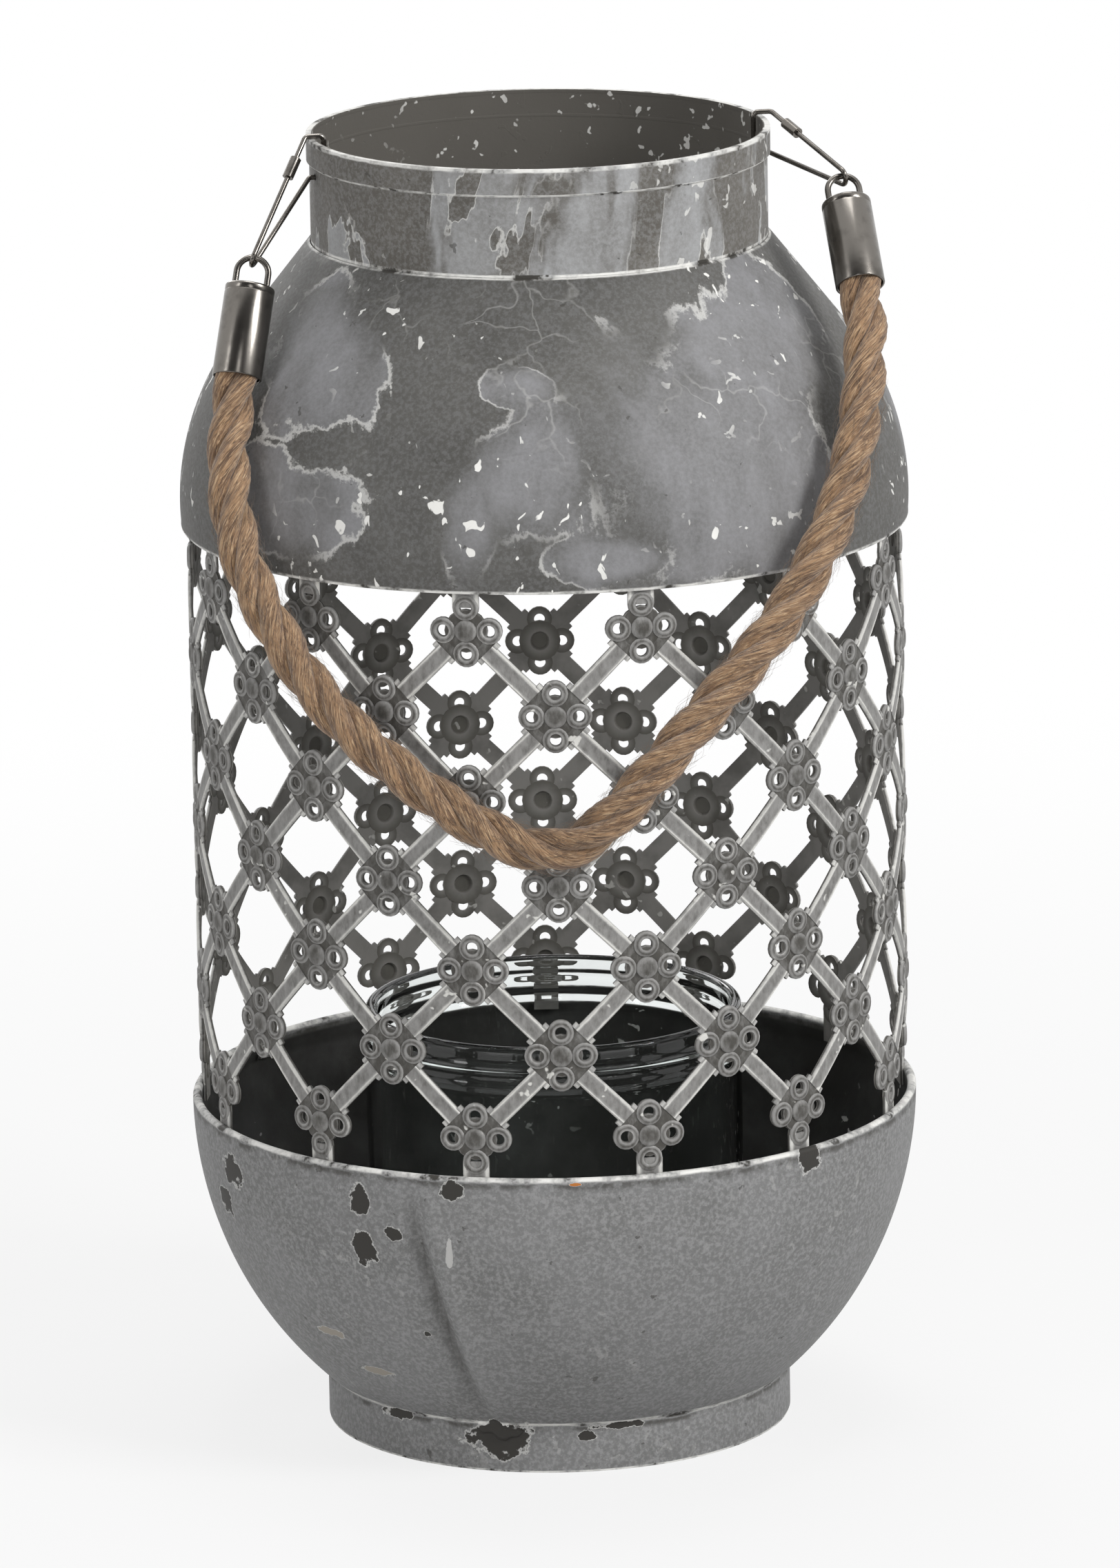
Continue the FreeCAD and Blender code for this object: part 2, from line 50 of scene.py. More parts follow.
TONE = "tone"
Colour = tuple[float, float, float, float]
Point = tuple[float, float, float]
Spot = tuple[float, float]
Profile = list[Point]
WHITE: Colour = (1.0, 1.0, 1.0, 1.0)


class Slot(Enum):
    """The record's material slots."""

    BOWL = "zinc_bowl"
    LATTICE = "zinc_lattice"
    DOME = "zinc_dome"
    NICKEL = "nickel"
    JUTE = "jute"
    GLASS = "clear_glass"


class Body(Enum):
    """The CAD bodies that pieces ride on."""

    LANTERN = "lantern"
    HANDLE = "handle"
    GLASS = "glass"


def paint(code: str) -> Colour:
    """Turns a six-digit display colour into a linear one.

    Args:
        code: the colour as six hexadecimal digits.
    Returns:
        The linear red, green, blue and alpha.
    """
    shown = [int(code[i : i + 2], 16) / 255 for i in (0, 2, 4)]
    linear = [c / 12.92 if c <= 0.04045 else ((c + 0.055) / 1.055) ** 2.4 for c in shown]
    return (*linear, 1.0)


class Sock:
    """An output socket whose arithmetic adds Math nodes to its graph."""

    def __init__(self, graph: "Graph", socket: bpy.types.NodeSocket) -> None:
        """Keeps the graph and the socket."""
        self.graph = graph
        self.socket = socket

    def maths(self, operation: str, first: "Sock | float", second: "Sock | float" = 0.0) -> "Sock":
        """Adds one Math node.

        Args:
            operation: the Math node's operation.
            first: its first value or link.
            second: its second value or link.
        Returns:
            The node's output.
        """
        return self.graph.node("ShaderNodeMath", {"operation": operation}, {0: first, 1: second})

    def __add__(self, other: "Sock | float") -> "Sock":
        """Adds."""
        return self.maths("ADD", self, other)

    __radd__ = __add__

    def __sub__(self, other: "Sock | float") -> "Sock":
        """Subtracts."""
        return self.maths("SUBTRACT", self, other)

    def __rsub__(self, other: float) -> "Sock":
        """Subtracts from a number."""
        return self.maths("SUBTRACT", other, self)

    def __neg__(self) -> "Sock":
        """Turns the sign."""
        return 0.0 - self

    def __mul__(self, other: "Sock | float") -> "Sock":
        """Multiplies."""
        return self.maths("MULTIPLY", self, other)

    __rmul__ = __mul__

    def __abs__(self) -> "Sock":
        """Drops the sign."""
        return self.maths("ABSOLUTE", self)

    def __or__(self, other: "Sock | float") -> "Sock":
        """Takes the larger, which joins two masks."""
        return self.maths("MAXIMUM", self, other)

    def __and__(self, other: "Sock | float") -> "Sock":
        """Takes the smaller, which keeps the nearest of two distances."""
        return self.maths("MINIMUM", self, other)

    def rise(self, low: float, high: float) -> "Sock":
        """Gives a mask that rises smoothly from 0 at low to 1 at high."""
        limits = {"Value": self, "From Min": low, "From Max": high}
        return self.graph.node("ShaderNodeMapRange", {"interpolation_type": "SMOOTHSTEP"}, limits)

    def fall(self, low: float, high: float) -> "Sock":
        """Gives a mask that falls smoothly from 1 at low to 0 at high."""
        return 1 - self.rise(low, high)


class Graph:
    """The node graph of one material, or of the world."""

    def __init__(self, owner: bpy.types.Material | bpy.types.World) -> None:
        """Starts an empty graph.

        Args:
            owner: the material or world that the graph belongs to.
        """
        owner.use_nodes = True
        self.owner = owner
        self.tree = owner.node_tree
        self.tree.nodes.clear()

    @cached_property
    def place(self) -> Sock:
        """Gives the surface's place in its piece, in metres."""
        return self.node("ShaderNodeTexCoord", out="Object")

    def node(
        self,
        kind: str,
        settings: dict[str, object] | None = None,
        sockets: dict[str | int, object] | None = None,
        out: str | int = 0,
    ) -> Sock:
        """Adds any node.

        Args:
            kind: the node's type.
            settings: its own settings, which are set first.
            sockets: the values or links of its inputs.
            out: which output to return.
        Returns:
            The chosen output.
        """
        made = self.tree.nodes.new(kind)
        for name, value in (settings or {}).items():
            setattr(made, name, value)
        for key, value in (sockets or {}).items():
            if isinstance(value, Sock):
                self.tree.links.new(value.socket, made.inputs[key])
            else:
                made.inputs[key].default_value = value
        return Sock(self, made.outputs[out] if len(made.outputs) else None)

    def axis(self, name: str) -> Sock:
        """Gives one coordinate of the place, in metres."""
        return self.node("ShaderNodeSeparateXYZ", {}, {0: self.place}, name)

    def attribute(self, name: str) -> Sock:
        """Reads a number that the mesh carries."""
        return self.node("ShaderNodeAttribute", {"attribute_name": name}, {}, "Fac")

    def moved(self, stretch: Sequence[float], seed: float, source: Sock | None = None) -> Sock:
        """Scales and shifts the place that a texture reads.

        Args:
            stretch: the scale along each axis.
            seed: how far to shift, so that two textures differ.
            source: the coordinates, or none for the place itself.
        Returns:
            The new coordinates.
        """
        sockets = {"Vector": source or self.place, "Scale": stretch, "Location": (seed, 0.7 * seed, -seed)}
        return self.node("ShaderNodeMapping", {}, sockets)

    def noise(
        self,
        scale: float,
        detail: float = 3.0,
        roughness: float = 0.5,
        stretch: Sequence[float] = (1.0, 1.0, 1.0),
        seed: float = 0.0,
        warp: float = 0.0,
        source: Sock | None = None,
    ) -> Sock:
        """Adds a noise texture.

        Args:
            scale: features per metre.
            detail: its octaves.
            roughness: the weight of the fine octaves.
            stretch: the scale along each axis.
            seed: its own shift.
            warp: its distortion.
            source: the coordinates, or none for the place itself.
        Returns:
            The noise, around 0.5.
        """
        sockets = {
            "Vector": self.moved(stretch, seed, source),
            "Scale": scale,
            "Detail": detail,
            "Roughness": roughness,
            "Distortion": warp,
        }
        return self.node("ShaderNodeTexNoise", {}, sockets)

    def vector(self, operation: str, *inputs: Sock | Sequence[float]) -> Sock:
        """Adds one Vector Math node.

        Args:
            operation: the node's operation.
            inputs: its vectors or links, in order.
        Returns:
            The node's vector.
        """
        return self.node("ShaderNodeVectorMath", {"operation": operation}, dict(enumerate(inputs)))

    def length(self, vector: Sock) -> Sock:
        """Gives a vector's length."""
        return self.node("ShaderNodeVectorMath", {"operation": "LENGTH"}, {0: vector}, "Value")

    def cracks(self, scale: float, width: float, seed: float) -> Sock:
        """Gives a mask of thin lines between cells.

        Args:
            scale: cells per metre.
            width: the lines' width, as a share of a cell.
            seed: its own shift.
        Returns:
            The mask.
        """
        sockets = {"Vector": self.place, "Scale": scale, "Detail": 3.0}
        wobble = self.node("ShaderNodeTexNoise", {}, sockets, "Color")
        vector = self.vector("MULTIPLY_ADD", wobble, (1.7 / scale,) * 3, self.moved((1, 1, 1), seed))
        sockets = {"Vector": vector, "Scale": scale}
        return self.node("ShaderNodeTexVoronoi", {"feature": "DISTANCE_TO_EDGE"}, sockets).fall(0.0, width)

    def apart(self, point: Point, reach: Point) -> Sock:
        """Gives how far the surface is from one point, as a share of a reach.

        Args:
            point: the point, in millimetres.
            reach: the distance along each axis that counts as 1, in millimetres.
        Returns:
            The distance.
        """
        off = self.vector("SUBTRACT", self.place, [c * MM for c in point])
        return self.length(self.vector("DIVIDE", off, [c * MM for c in reach]))

    def mix(self, mask: Sock | float, low: Sock | Colour, high: Sock | Colour) -> Sock:
        """Goes from one colour to another where the mask is 1."""
        return self.node("ShaderNodeMix", {"data_type": "RGBA"}, {0: mask, 6: low, 7: high}, 2)

    def bump(self, height: Sock, depth: float) -> Sock:
        """Turns a height of 0 to 1 into a bumped normal.

        Args:
            height: the height.
            depth: its depth in millimetres.
        Returns:
            The normal.
        """
        sockets = {"Height": height, "Distance": depth * MM, "Strength": 1.0}
        return self.node("ShaderNodeBump", {}, sockets)

    def surface(self, sockets: dict[str | int, object]) -> bpy.types.Material:
        """Ends the graph in a Principled shader.

        Args:
            sockets: the shader's values and links.
        Returns:
            The material.
        """
        shader = self.node("ShaderNodeBsdfPrincipled", {}, sockets)
        self.node("ShaderNodeOutputMaterial", {}, {"Surface": shader})
        return self.owner


@dataclass(frozen=True)
class Scar:
    """A mark at a known place, dark where no other colour is given.

    The place and reach are in millimetres.
    """

    point: Point
    reach: Point
    colour: str = "33312e"


@dataclass(frozen=True)
class ZincPaint:
    """Weathered grey paint over sheet zinc, chipped and patched.

    Places and heights are in millimetres.
    """

    name: str
    base: str
    deep: str
    pale: str
    inside: str
    rims: tuple[Spot, ...]
    patches: tuple[tuple[Point, Point], ...] = ()
    flakes: float = 0.0
    flecks: float = 0.0
    cracks: float = 0.0
    grain: float = 0.3
    inner_radius: float = 0.0
    scars: tuple[Scar, ...] = ()
    worn: str = "dddcd8"
    bare_zinc_and_shade: str = "3b3935"
    grime_and_shadow: float = 0.0
    gloss: float = 0.25

    def patched(self, g: Graph, colour: Sock, fine: Sock, cloud: Sock) -> Sock:
        """Lays the pale patches with their lighter outlines.

        Args:
            g: the paint's graph.
            colour: the colour under them.
            fine: the fine noise.
            cloud: the slow noise.
        Returns:
            The new colour.
        """
        frayed = 2.6 * (g.noise(21.0, 7.0, 0.58, (1.0, 1.0, 0.75), 5.3, 0.5) - 0.5) + 0.2 * (fine - 0.5)
        nearest: Sock | float = 9.0
        for point, reach in self.patches:
            nearest = g.apart(point, reach) & nearest
        if self.flakes:
            upright = g.noise(44.0, 4.0, 0.55, (1.0, 1.0, 0.35), 11.0, 0.5)
            nearest = (1.0 + (0.52 - upright) * self.flakes) & nearest
        edge = nearest + frayed
        crisp = g.noise(26.0, 2.0, seed=8.0).rise(0.42, 0.58)
        body = edge.fall(0.93, 1.01) * crisp | edge.fall(0.3, 1.1)
        rim = edge.rise(0.88, 0.95) * edge.fall(0.96, 1.02) * crisp
        brushed = g.noise(90.0, 3.0, 0.6, (1.0, 1.0, 0.2), 13.0).rise(0.3, 0.75)
        colour = g.mix(body * (0.05 + 0.4 * brushed + 0.3 * cloud + 0.6 * fine), colour, paint(self.pale))
        return g.mix(rim * 0.5, colour, paint(self.worn))

    def scarred(self, g: Graph, colour: Sock) -> Sock:
        """Adds the marks at known places, each with a pale outline.

        Args:
            g: the paint's graph.
            colour: the colour under them.
        Returns:
            The new colour.
        """
        for scar in self.scars:
            frayed = 2.6 * (g.noise(210.0, 5.0, 0.6, seed=scar.point[0]) - 0.5)
            gap = g.apart(scar.point, scar.reach) + frayed
            colour = g.mix(gap.rise(0.93, 1.0) * gap.fall(1.04, 1.14) * 0.45, colour, paint(self.worn))
            colour = g.mix(gap.fall(0.9, 1.02), colour, paint(scar.colour))
        return colour

    def rimmed(self, g: Graph, colour: Sock) -> tuple[Sock, Sock]:
        """Rubs and chips the rims, and darkens a band under them with grime and painted shadow.

        Args:
            g: the paint's graph.
            colour: the colour under them.
        Returns:
            The new colour and the mask of the rims.
        """
        broken = g.noise(110.0, 4.0, 0.65, seed=20.0)
        edge: Sock | float = 0.0
        for rim, width in ((height * MM, width * MM) for height, width in self.rims):
            off = abs(g.axis("Z") - rim) + 1.4 * width * (broken - 0.5)
            edge = off.fall(0.35 * width, width) | edge
            # A broken band under each rim, darkened with grime and painted shadow.
            under = rim - g.axis("Z") + 2.0 * width * (broken - 0.5)
            grime_and_shadow_band = under.rise(0.8 * width, 1.3 * width) * under.fall(1.6 * width, 3.4 * width)
            colour = g.mix(grime_and_shadow_band * self.grime_and_shadow * broken.fall(0.42, 0.6), colour, paint(self.bare_zinc_and_shade))
        colour = g.mix(edge * broken.rise(0.34, 0.6), colour, paint(self.worn))
        return g.mix(edge * broken.fall(0.36, 0.42), colour, paint(self.bare_zinc_and_shade)), edge

    def lined(self, g: Graph, colour: Sock, tone: Sock, cloud: Sock, where: Sock) -> tuple[Sock, Sock]:
        """Gives the inside its own dusty colour.

        Args:
            g: the paint's graph.
            colour: the colour of the outside.
            tone: the mesh's tone, which is -1 inside.
            cloud: the slow noise.
            where: the mask of where paint drops off.
        Returns:
            The new colour and the mask of the inside.
        """
        inner = (-tone).rise(0.3, 0.7)
        if self.inner_radius:
            radius = g.length(g.vector("MULTIPLY", g.place, (1.0, 1.0, 0.0)))
            inner = radius.fall((self.inner_radius - 0.1) * MM, (self.inner_radius + 0.1) * MM) | inner
        specks = g.noise(260.0, 2.0, 0.5, seed=31.0).rise(0.65, 0.68) * where
        dusty = g.mix(cloud.rise(0.35, 0.75) * 0.35, paint(self.inside), paint(self.deep))
        return g.mix(inner, colour, g.mix(specks * 0.8, dusty, paint(self.worn))), inner

    def make(self) -> bpy.types.Material:
        """Builds the paint.

        Returns:
            The material.
        """
        g = Graph(bpy.data.materials.new(self.name))
        fine = g.noise(820.0, 4.0, 0.7, seed=3.1)
        cloud = g.noise(34.0, 6.0, 0.62, seed=1.7)
        colour = g.mix(cloud.rise(0.3, 0.72), paint(self.deep), paint(self.base))
        colour = g.mix(fine.rise(0.4, 0.64) * self.grain, colour, paint(self.pale))
        if self.patches or self.flakes:
            colour = self.patched(g, colour, fine, cloud)
        where = g.noise(17.0, 3.0, seed=9.1).rise(0.44, 0.58)
        drops = g.noise(230.0, 2.0, 0.5, (1.0, 1.0, 0.8), 6.6, 0.6).rise(0.655, 0.68) * where
        lines = g.cracks(58.0, 0.035, 2.2) * g.noise(24.0, 3.0, seed=4.4).rise(0.55, 0.68)
        lost = drops * self.flecks | lines * self.cracks
        colour = g.mix(lost, colour, paint(self.worn))
        pits = g.noise(210.0, 3.0, 0.6, seed=12.5).rise(0.7, 0.73)
        colour, edge = self.rimmed(g, g.mix(pits * 0.6, colour, paint(self.bare_zinc_and_shade)))
        tone = g.attribute(TONE)
        # Painted shade where the tone is below 0 and a painted highlight where it is above 0, as along the
        # bowl's crease.
        colour = g.mix((-tone).rise(0.0, 0.25) * 0.6, colour, paint(self.bare_zinc_and_shade))
        colour = g.mix(tone.rise(0.0, 0.25) * 0.6, colour, paint(self.pale))
        colour, inner = self.lined(g, self.scarred(g, colour), tone, cloud, where)
        rough = 0.5 + 0.2 * cloud + 0.12 * lost + 0.15 * inner
        height = 0.35 * fine + 0.5 * lost + 0.4 * edge - 0.3 * pits
        return g.surface(
            {
                "Base Color": colour,
                "Roughness": rough,
                "Specular IOR Level": self.gloss,
                "Normal": g.bump(height, 0.14),
            }
        )


@dataclass(frozen=True)
class BrushedLattice:
    """Grey paint brushed off the crests of the lattice."""

    name: str = "lattice_paint"
    base: str = "8a8987"
    deep: str = "45433f"
    worn: str = "d6d5d0"
    inside: str = "67655f"
    # A lighter copy of the inside paint, painted light on the backs of the bars.
    painted_lit_inside_bar: str = "8a8884"
    gloss: float = 0.25

    def make(self) -> bpy.types.Material:
        """Builds the paint.

        Returns:
            The material.
        """
        g = Graph(bpy.data.materials.new(self.name))
        tone = g.attribute(TONE)
        fine = g.noise(600.0, 4.0, 0.65, (1.0, 1.0, 0.5), seed=2.0)
        cloud = g.noise(70.0, 4.0, 0.6, seed=4.0)
        colour = g.mix((0.6 * fine + 0.5 * tone).rise(0.15, 0.6), paint(self.deep), paint(self.base))
        rubbed = (tone + 0.9 * (cloud - 0.5) + 0.6 * (fine - 0.5)).rise(0.5, 1.0)
        colour = g.mix(rubbed * 0.8, colour, paint(self.worn))
        chips = g.noise(260.0, 2.0, seed=7.0).rise(0.68, 0.73)
        colour = g.mix(chips * 0.8, colour, paint(self.worn))
        inner = (-tone).rise(0.3, 0.7)
        # Painted light and shade: the backs of the bars take a lighter copy of the inside paint than the
        # backs of the plates and petals.
        back = g.mix((-tone).rise(0.7, 1.0), paint(self.painted_lit_inside_bar), paint(self.inside))
        back = g.mix(cloud.rise(0.4, 0.7) * 0.5, back, paint(self.deep))
        colour = g.mix(inner, colour, g.mix(chips * 0.5, back, paint(self.worn)))
        rough = 0.42 + 0.25 * fine + 0.15 * inner
        return g.surface(
            {
                "Base Color": colour,
                "Roughness": rough,
                "Specular IOR Level": self.gloss,
                "Normal": g.bump(fine + chips, 0.1),
            }
        )


@dataclass(frozen=True)
class Nickel:
    """Bright nickel plate with faint scratches."""

    name: str = "nickel_plate"
    base: str = "7a7671"
    dull: str = "494642"

    def make(self) -> bpy.types.Material:
        """Builds the plate.

        Returns:
            The material.
        """
        g = Graph(bpy.data.materials.new(self.name))
        cloud = g.noise(160.0, 4.0, 0.6, seed=1.0)
        scratch = g.noise(500.0, 3.0, 0.7, (1.0, 1.0, 0.12), seed=2.5)
        colour = g.mix(cloud.rise(0.45, 0.75) * 0.6, paint(self.base), paint(self.dull))
        rough = 0.12 + 0.16 * cloud + 0.08 * scratch
        return g.surface(
            {"Base Color": colour, "Metallic": 1.0, "Roughness": rough, "Normal": g.bump(scratch, 0.004)}
        )


@dataclass(frozen=True)
class Jute:
    """Twisted jute: brown fibres that run along each strand."""

    name: str = "jute_fibre"
    base: str = "957555"
    deep: str = "614732"
    pale: str = "bb9f7e"
    shadow: str = "3f2c1c"
    sheen: float = 0.25

    def make(self) -> bpy.types.Material:
        """Builds the fibre.

        Returns:
            The material.
        """
        g = Graph(bpy.data.materials.new(self.name))
        along = g.node("ShaderNodeUVMap", {"uv_map": "fibre"})
        yarn = g.noise(1.0, 4.0, 0.65, (1.1, 9.0, 1.0), 3.0, 0.6, along)
        hair = g.noise(1.0, 3.0, 0.6, (3.2, 38.0, 1.0), 9.0, 1.2, along)
        cloud = g.noise(45.0, 4.0, 0.6, seed=5.0)
        colour = g.mix(yarn.rise(0.34, 0.6), paint(self.deep), paint(self.base))
        colour = g.mix(hair.rise(0.5, 0.66) * 0.8, colour, paint(self.pale))
        colour = g.mix(hair.fall(0.36, 0.48) * 0.8, colour, paint(self.shadow))
        colour = g.mix(cloud.rise(0.5, 0.75) * 0.35, colour, paint(self.deep))
        # Painted shade in the grooves between the strands, read from the mesh's tone. The same dark colour
        # also gives the dark fibre streaks above.
        groove = (-g.attribute(TONE)).rise(0.0, 1.0)
        colour = g.mix(groove * 0.8, colour, paint(self.shadow))
        height = 0.6 * yarn + 0.4 * hair
        return g.surface(
            {
                "Base Color": colour,
                "Roughness": 0.72 + 0.2 * hair,
                "Sheen Weight": self.sheen,
                "Normal": g.bump(height, 1.1),
            }
        )


@dataclass(frozen=True)
class ClearGlass:
    """Clear moulded glass with faint waves and dust."""

    name: str = "clear_glass"
    tint: str = "f3f7f6"
    dusty: str = "dfe4e3"
    ior: float = 1.47

    def make(self) -> bpy.types.Material:
        """Builds the glass.

        Returns:
            The material.
        """
        g = Graph(bpy.data.materials.new(self.name))
        wave = g.noise(26.0, 2.0, 0.4, (1.0, 1.0, 0.4), seed=6.0)
        dust = g.noise(140.0, 4.0, 0.7, seed=3.0).rise(0.5, 0.8)
        colour = g.mix(dust * 0.4, paint(self.tint), paint(self.dusty))
        return g.surface(
            {
                "Base Color": colour,
                "Roughness": 0.01 + 0.05 * dust,
                "Transmission Weight": 1.0,
                "IOR": self.ior,
                "Normal": g.bump(wave, 0.15),
            }
        )


def show(
    name: str, mesh: bpy.types.Mesh, body: Body, finish: bpy.types.Material
) -> bpy.types.Object:
    """Puts a mesh in the scene as a piece of the lantern.

    Args:
        name: the piece's name.
        mesh: its mesh, in metres.
        body: the body that it rides on.
        finish: its material.
    Returns:
        The piece.
    """
    piece = bpy.data.objects.new(name, mesh)
    bpy.context.scene.collection.objects.link(piece)
    mesh.materials.append(finish)
    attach(piece, body.value)
    LOG.info("%s: %d faces", name, len(mesh.polygons))
    return piece


def dress_node(name: str, finish: bpy.types.Material) -> None:
    """Gives a kept CAD node its finish.

    Args:
        name: the node's name.
        finish: its material.
    """
    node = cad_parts[name]
    if not node.material_slots:
        node.data.materials.append(finish)
    for place in node.material_slots:
        place.material = finish
    LOG.info("%s: kept, with %s", name, finish.name)


@dataclass
class MeshBag:
    """Collects the points, faces and tones of one mesh."""

    points: list[Point] = field(default_factory=list)
    tones: list[float] = field(default_factory=list)
    faces: list[tuple[int, ...]] = field(default_factory=list)

    def row(self, points: Sequence[Sequence[float]], tones: Sequence[float]) -> list[int]:
        """Adds a row of points.

        Args:
            points: the points in millimetres.
            tones: the tone of each.
        Returns:
            Their indices.
        """
        first = len(self.points)
        self.points += [tuple(float(c) * MM for c in p) for p in points]
        self.tones += [float(t) for t in tones]
        return list(range(first, len(self.points)))

    def skin(self, rows: list[list[int]], looped: bool = False, capped: bool = False) -> None:
        """Joins rows that run round, one after another.

        Args:
            rows: the rows, of as many points each.
            looped: whether the last row joins the first.
            capped: whether a face closes each end.
        """
        after = rows[1:] + rows[:1] if looped else rows[1:]
        for low, high in zip(rows, after):
            for i, start in enumerate(low):
                j = (i + 1) % len(low)
                self.faces.append((start, low[j], high[j], high[i]))
        if capped:
            self.faces += [tuple(reversed(rows[0])), tuple(rows[-1])]

    def mesh(self, name: str, sharp: float = 40.0) -> bpy.types.Mesh:
        """Makes the mesh, smooth apart from its sharp edges.

        Args:
            name: the mesh's name.
            sharp: the angle in degrees from which an edge is sharp.
        Returns:
            The mesh.
        """
        made = bpy.data.meshes.new(name)
        made.from_pydata(self.points, [], self.faces)
        tone = made.attributes.new(TONE, "FLOAT", "POINT")
        tone.data.foreach_set("value", np.array(self.tones, np.float32))
        made.polygons.foreach_set("use_smooth", [True] * len(made.polygons))
        made.set_sharp_from_angle(angle=math.radians(sharp))
        made.update()
        return made


Warp = Callable[[float, float, float], float]


def circle(steps: int) -> list[float]:
    """Lists equal steps round a circle, in radians."""
    return [2 * math.pi * i / steps for i in range(steps)]


def turned(radius: float, angle: float, height: float) -> Point:
    """Places a point round the upright axis, with angle 0 in front."""
    return radius * math.sin(angle), -radius * math.cos(angle), height


def lathe(
    name: str,
    profile: Sequence[Point],
    steps: int = 240,
    warp: Warp | None = None,
    looped: bool = False,
    shade: Warp | None = None,
) -> bpy.types.Mesh:
    """Turns a profile round the upright axis.

    Args:
        name: the mesh's name.
        profile: radius, height and tone of each point, counted so that the outside faces out.
        steps: how many steps go round.
        warp: how far a point at an angle, radius and height is pushed out.
        looped: whether the profile closes on itself.
        shade: what is added to the tone at an angle, radius and height.
    Returns:
        The mesh.
    """
    bag = MeshBag()
    rows = []
    angles = circle(steps)
    for radius, height, tone in profile:
        if radius == 0:
            rows.append(bag.row([(0, 0, height)], [tone]) * steps)
            continue
        points = [turned(radius + (warp(a, radius, height) if warp else 0.0), a, height) for a in angles]
        tones = [tone + (shade(a, radius, height) if shade else 0.0) for a in angles]
        rows.append(bag.row(points, tones))
    bag.skin(rows, looped)
    bag.faces = [tuple(dict.fromkeys(f)) for f in bag.faces]
    return bag.mesh(name)


def arc(centre: Spot, radius: float, start: float, end: float, steps: int, tone: float = 0.0) -> Profile:
    """Lists profile points on an arc.

    Args:
        centre: the arc's centre.
        radius: its radius.
        start: its first angle in degrees.
        end: its last angle in degrees.
        steps: how many steps it has.
        tone: the points' tone.
    Returns:
        The points, each with its tone.
    """
    turns = [math.radians(start + (end - start) * i / steps) for i in range(steps + 1)]
    return [(centre[0] + radius * math.cos(t), centre[1] + radius * math.sin(t), tone) for t in turns]


def dented(depth: float, seed: float) -> Warp:
    """Gives a slow, hand-worked unevenness.

    Args:
        depth: its depth in millimetres.
        seed: its own shift.
    Returns:
        The push at an angle, radius and height.
    """

    def push(angle: float, radius: float, height: float) -> float:
        """Adds a few slow waves.

        Args:
            angle: the angle round the axis.
            radius: the radius in millimetres; not used.
            height: the height in millimetres.
        Returns:
            The push in millimetres.
        """
        slow = math.sin(2 * angle + seed) + 0.6 * math.sin(5 * angle + 0.04 * height + 2 * seed)
        quick = 0.35 * math.sin(11 * angle - 0.09 * height + seed)
        quick += 0.2 * math.sin(17 * angle + 0.15 * height)
        return depth * (slow + quick) / 2.15

    return push


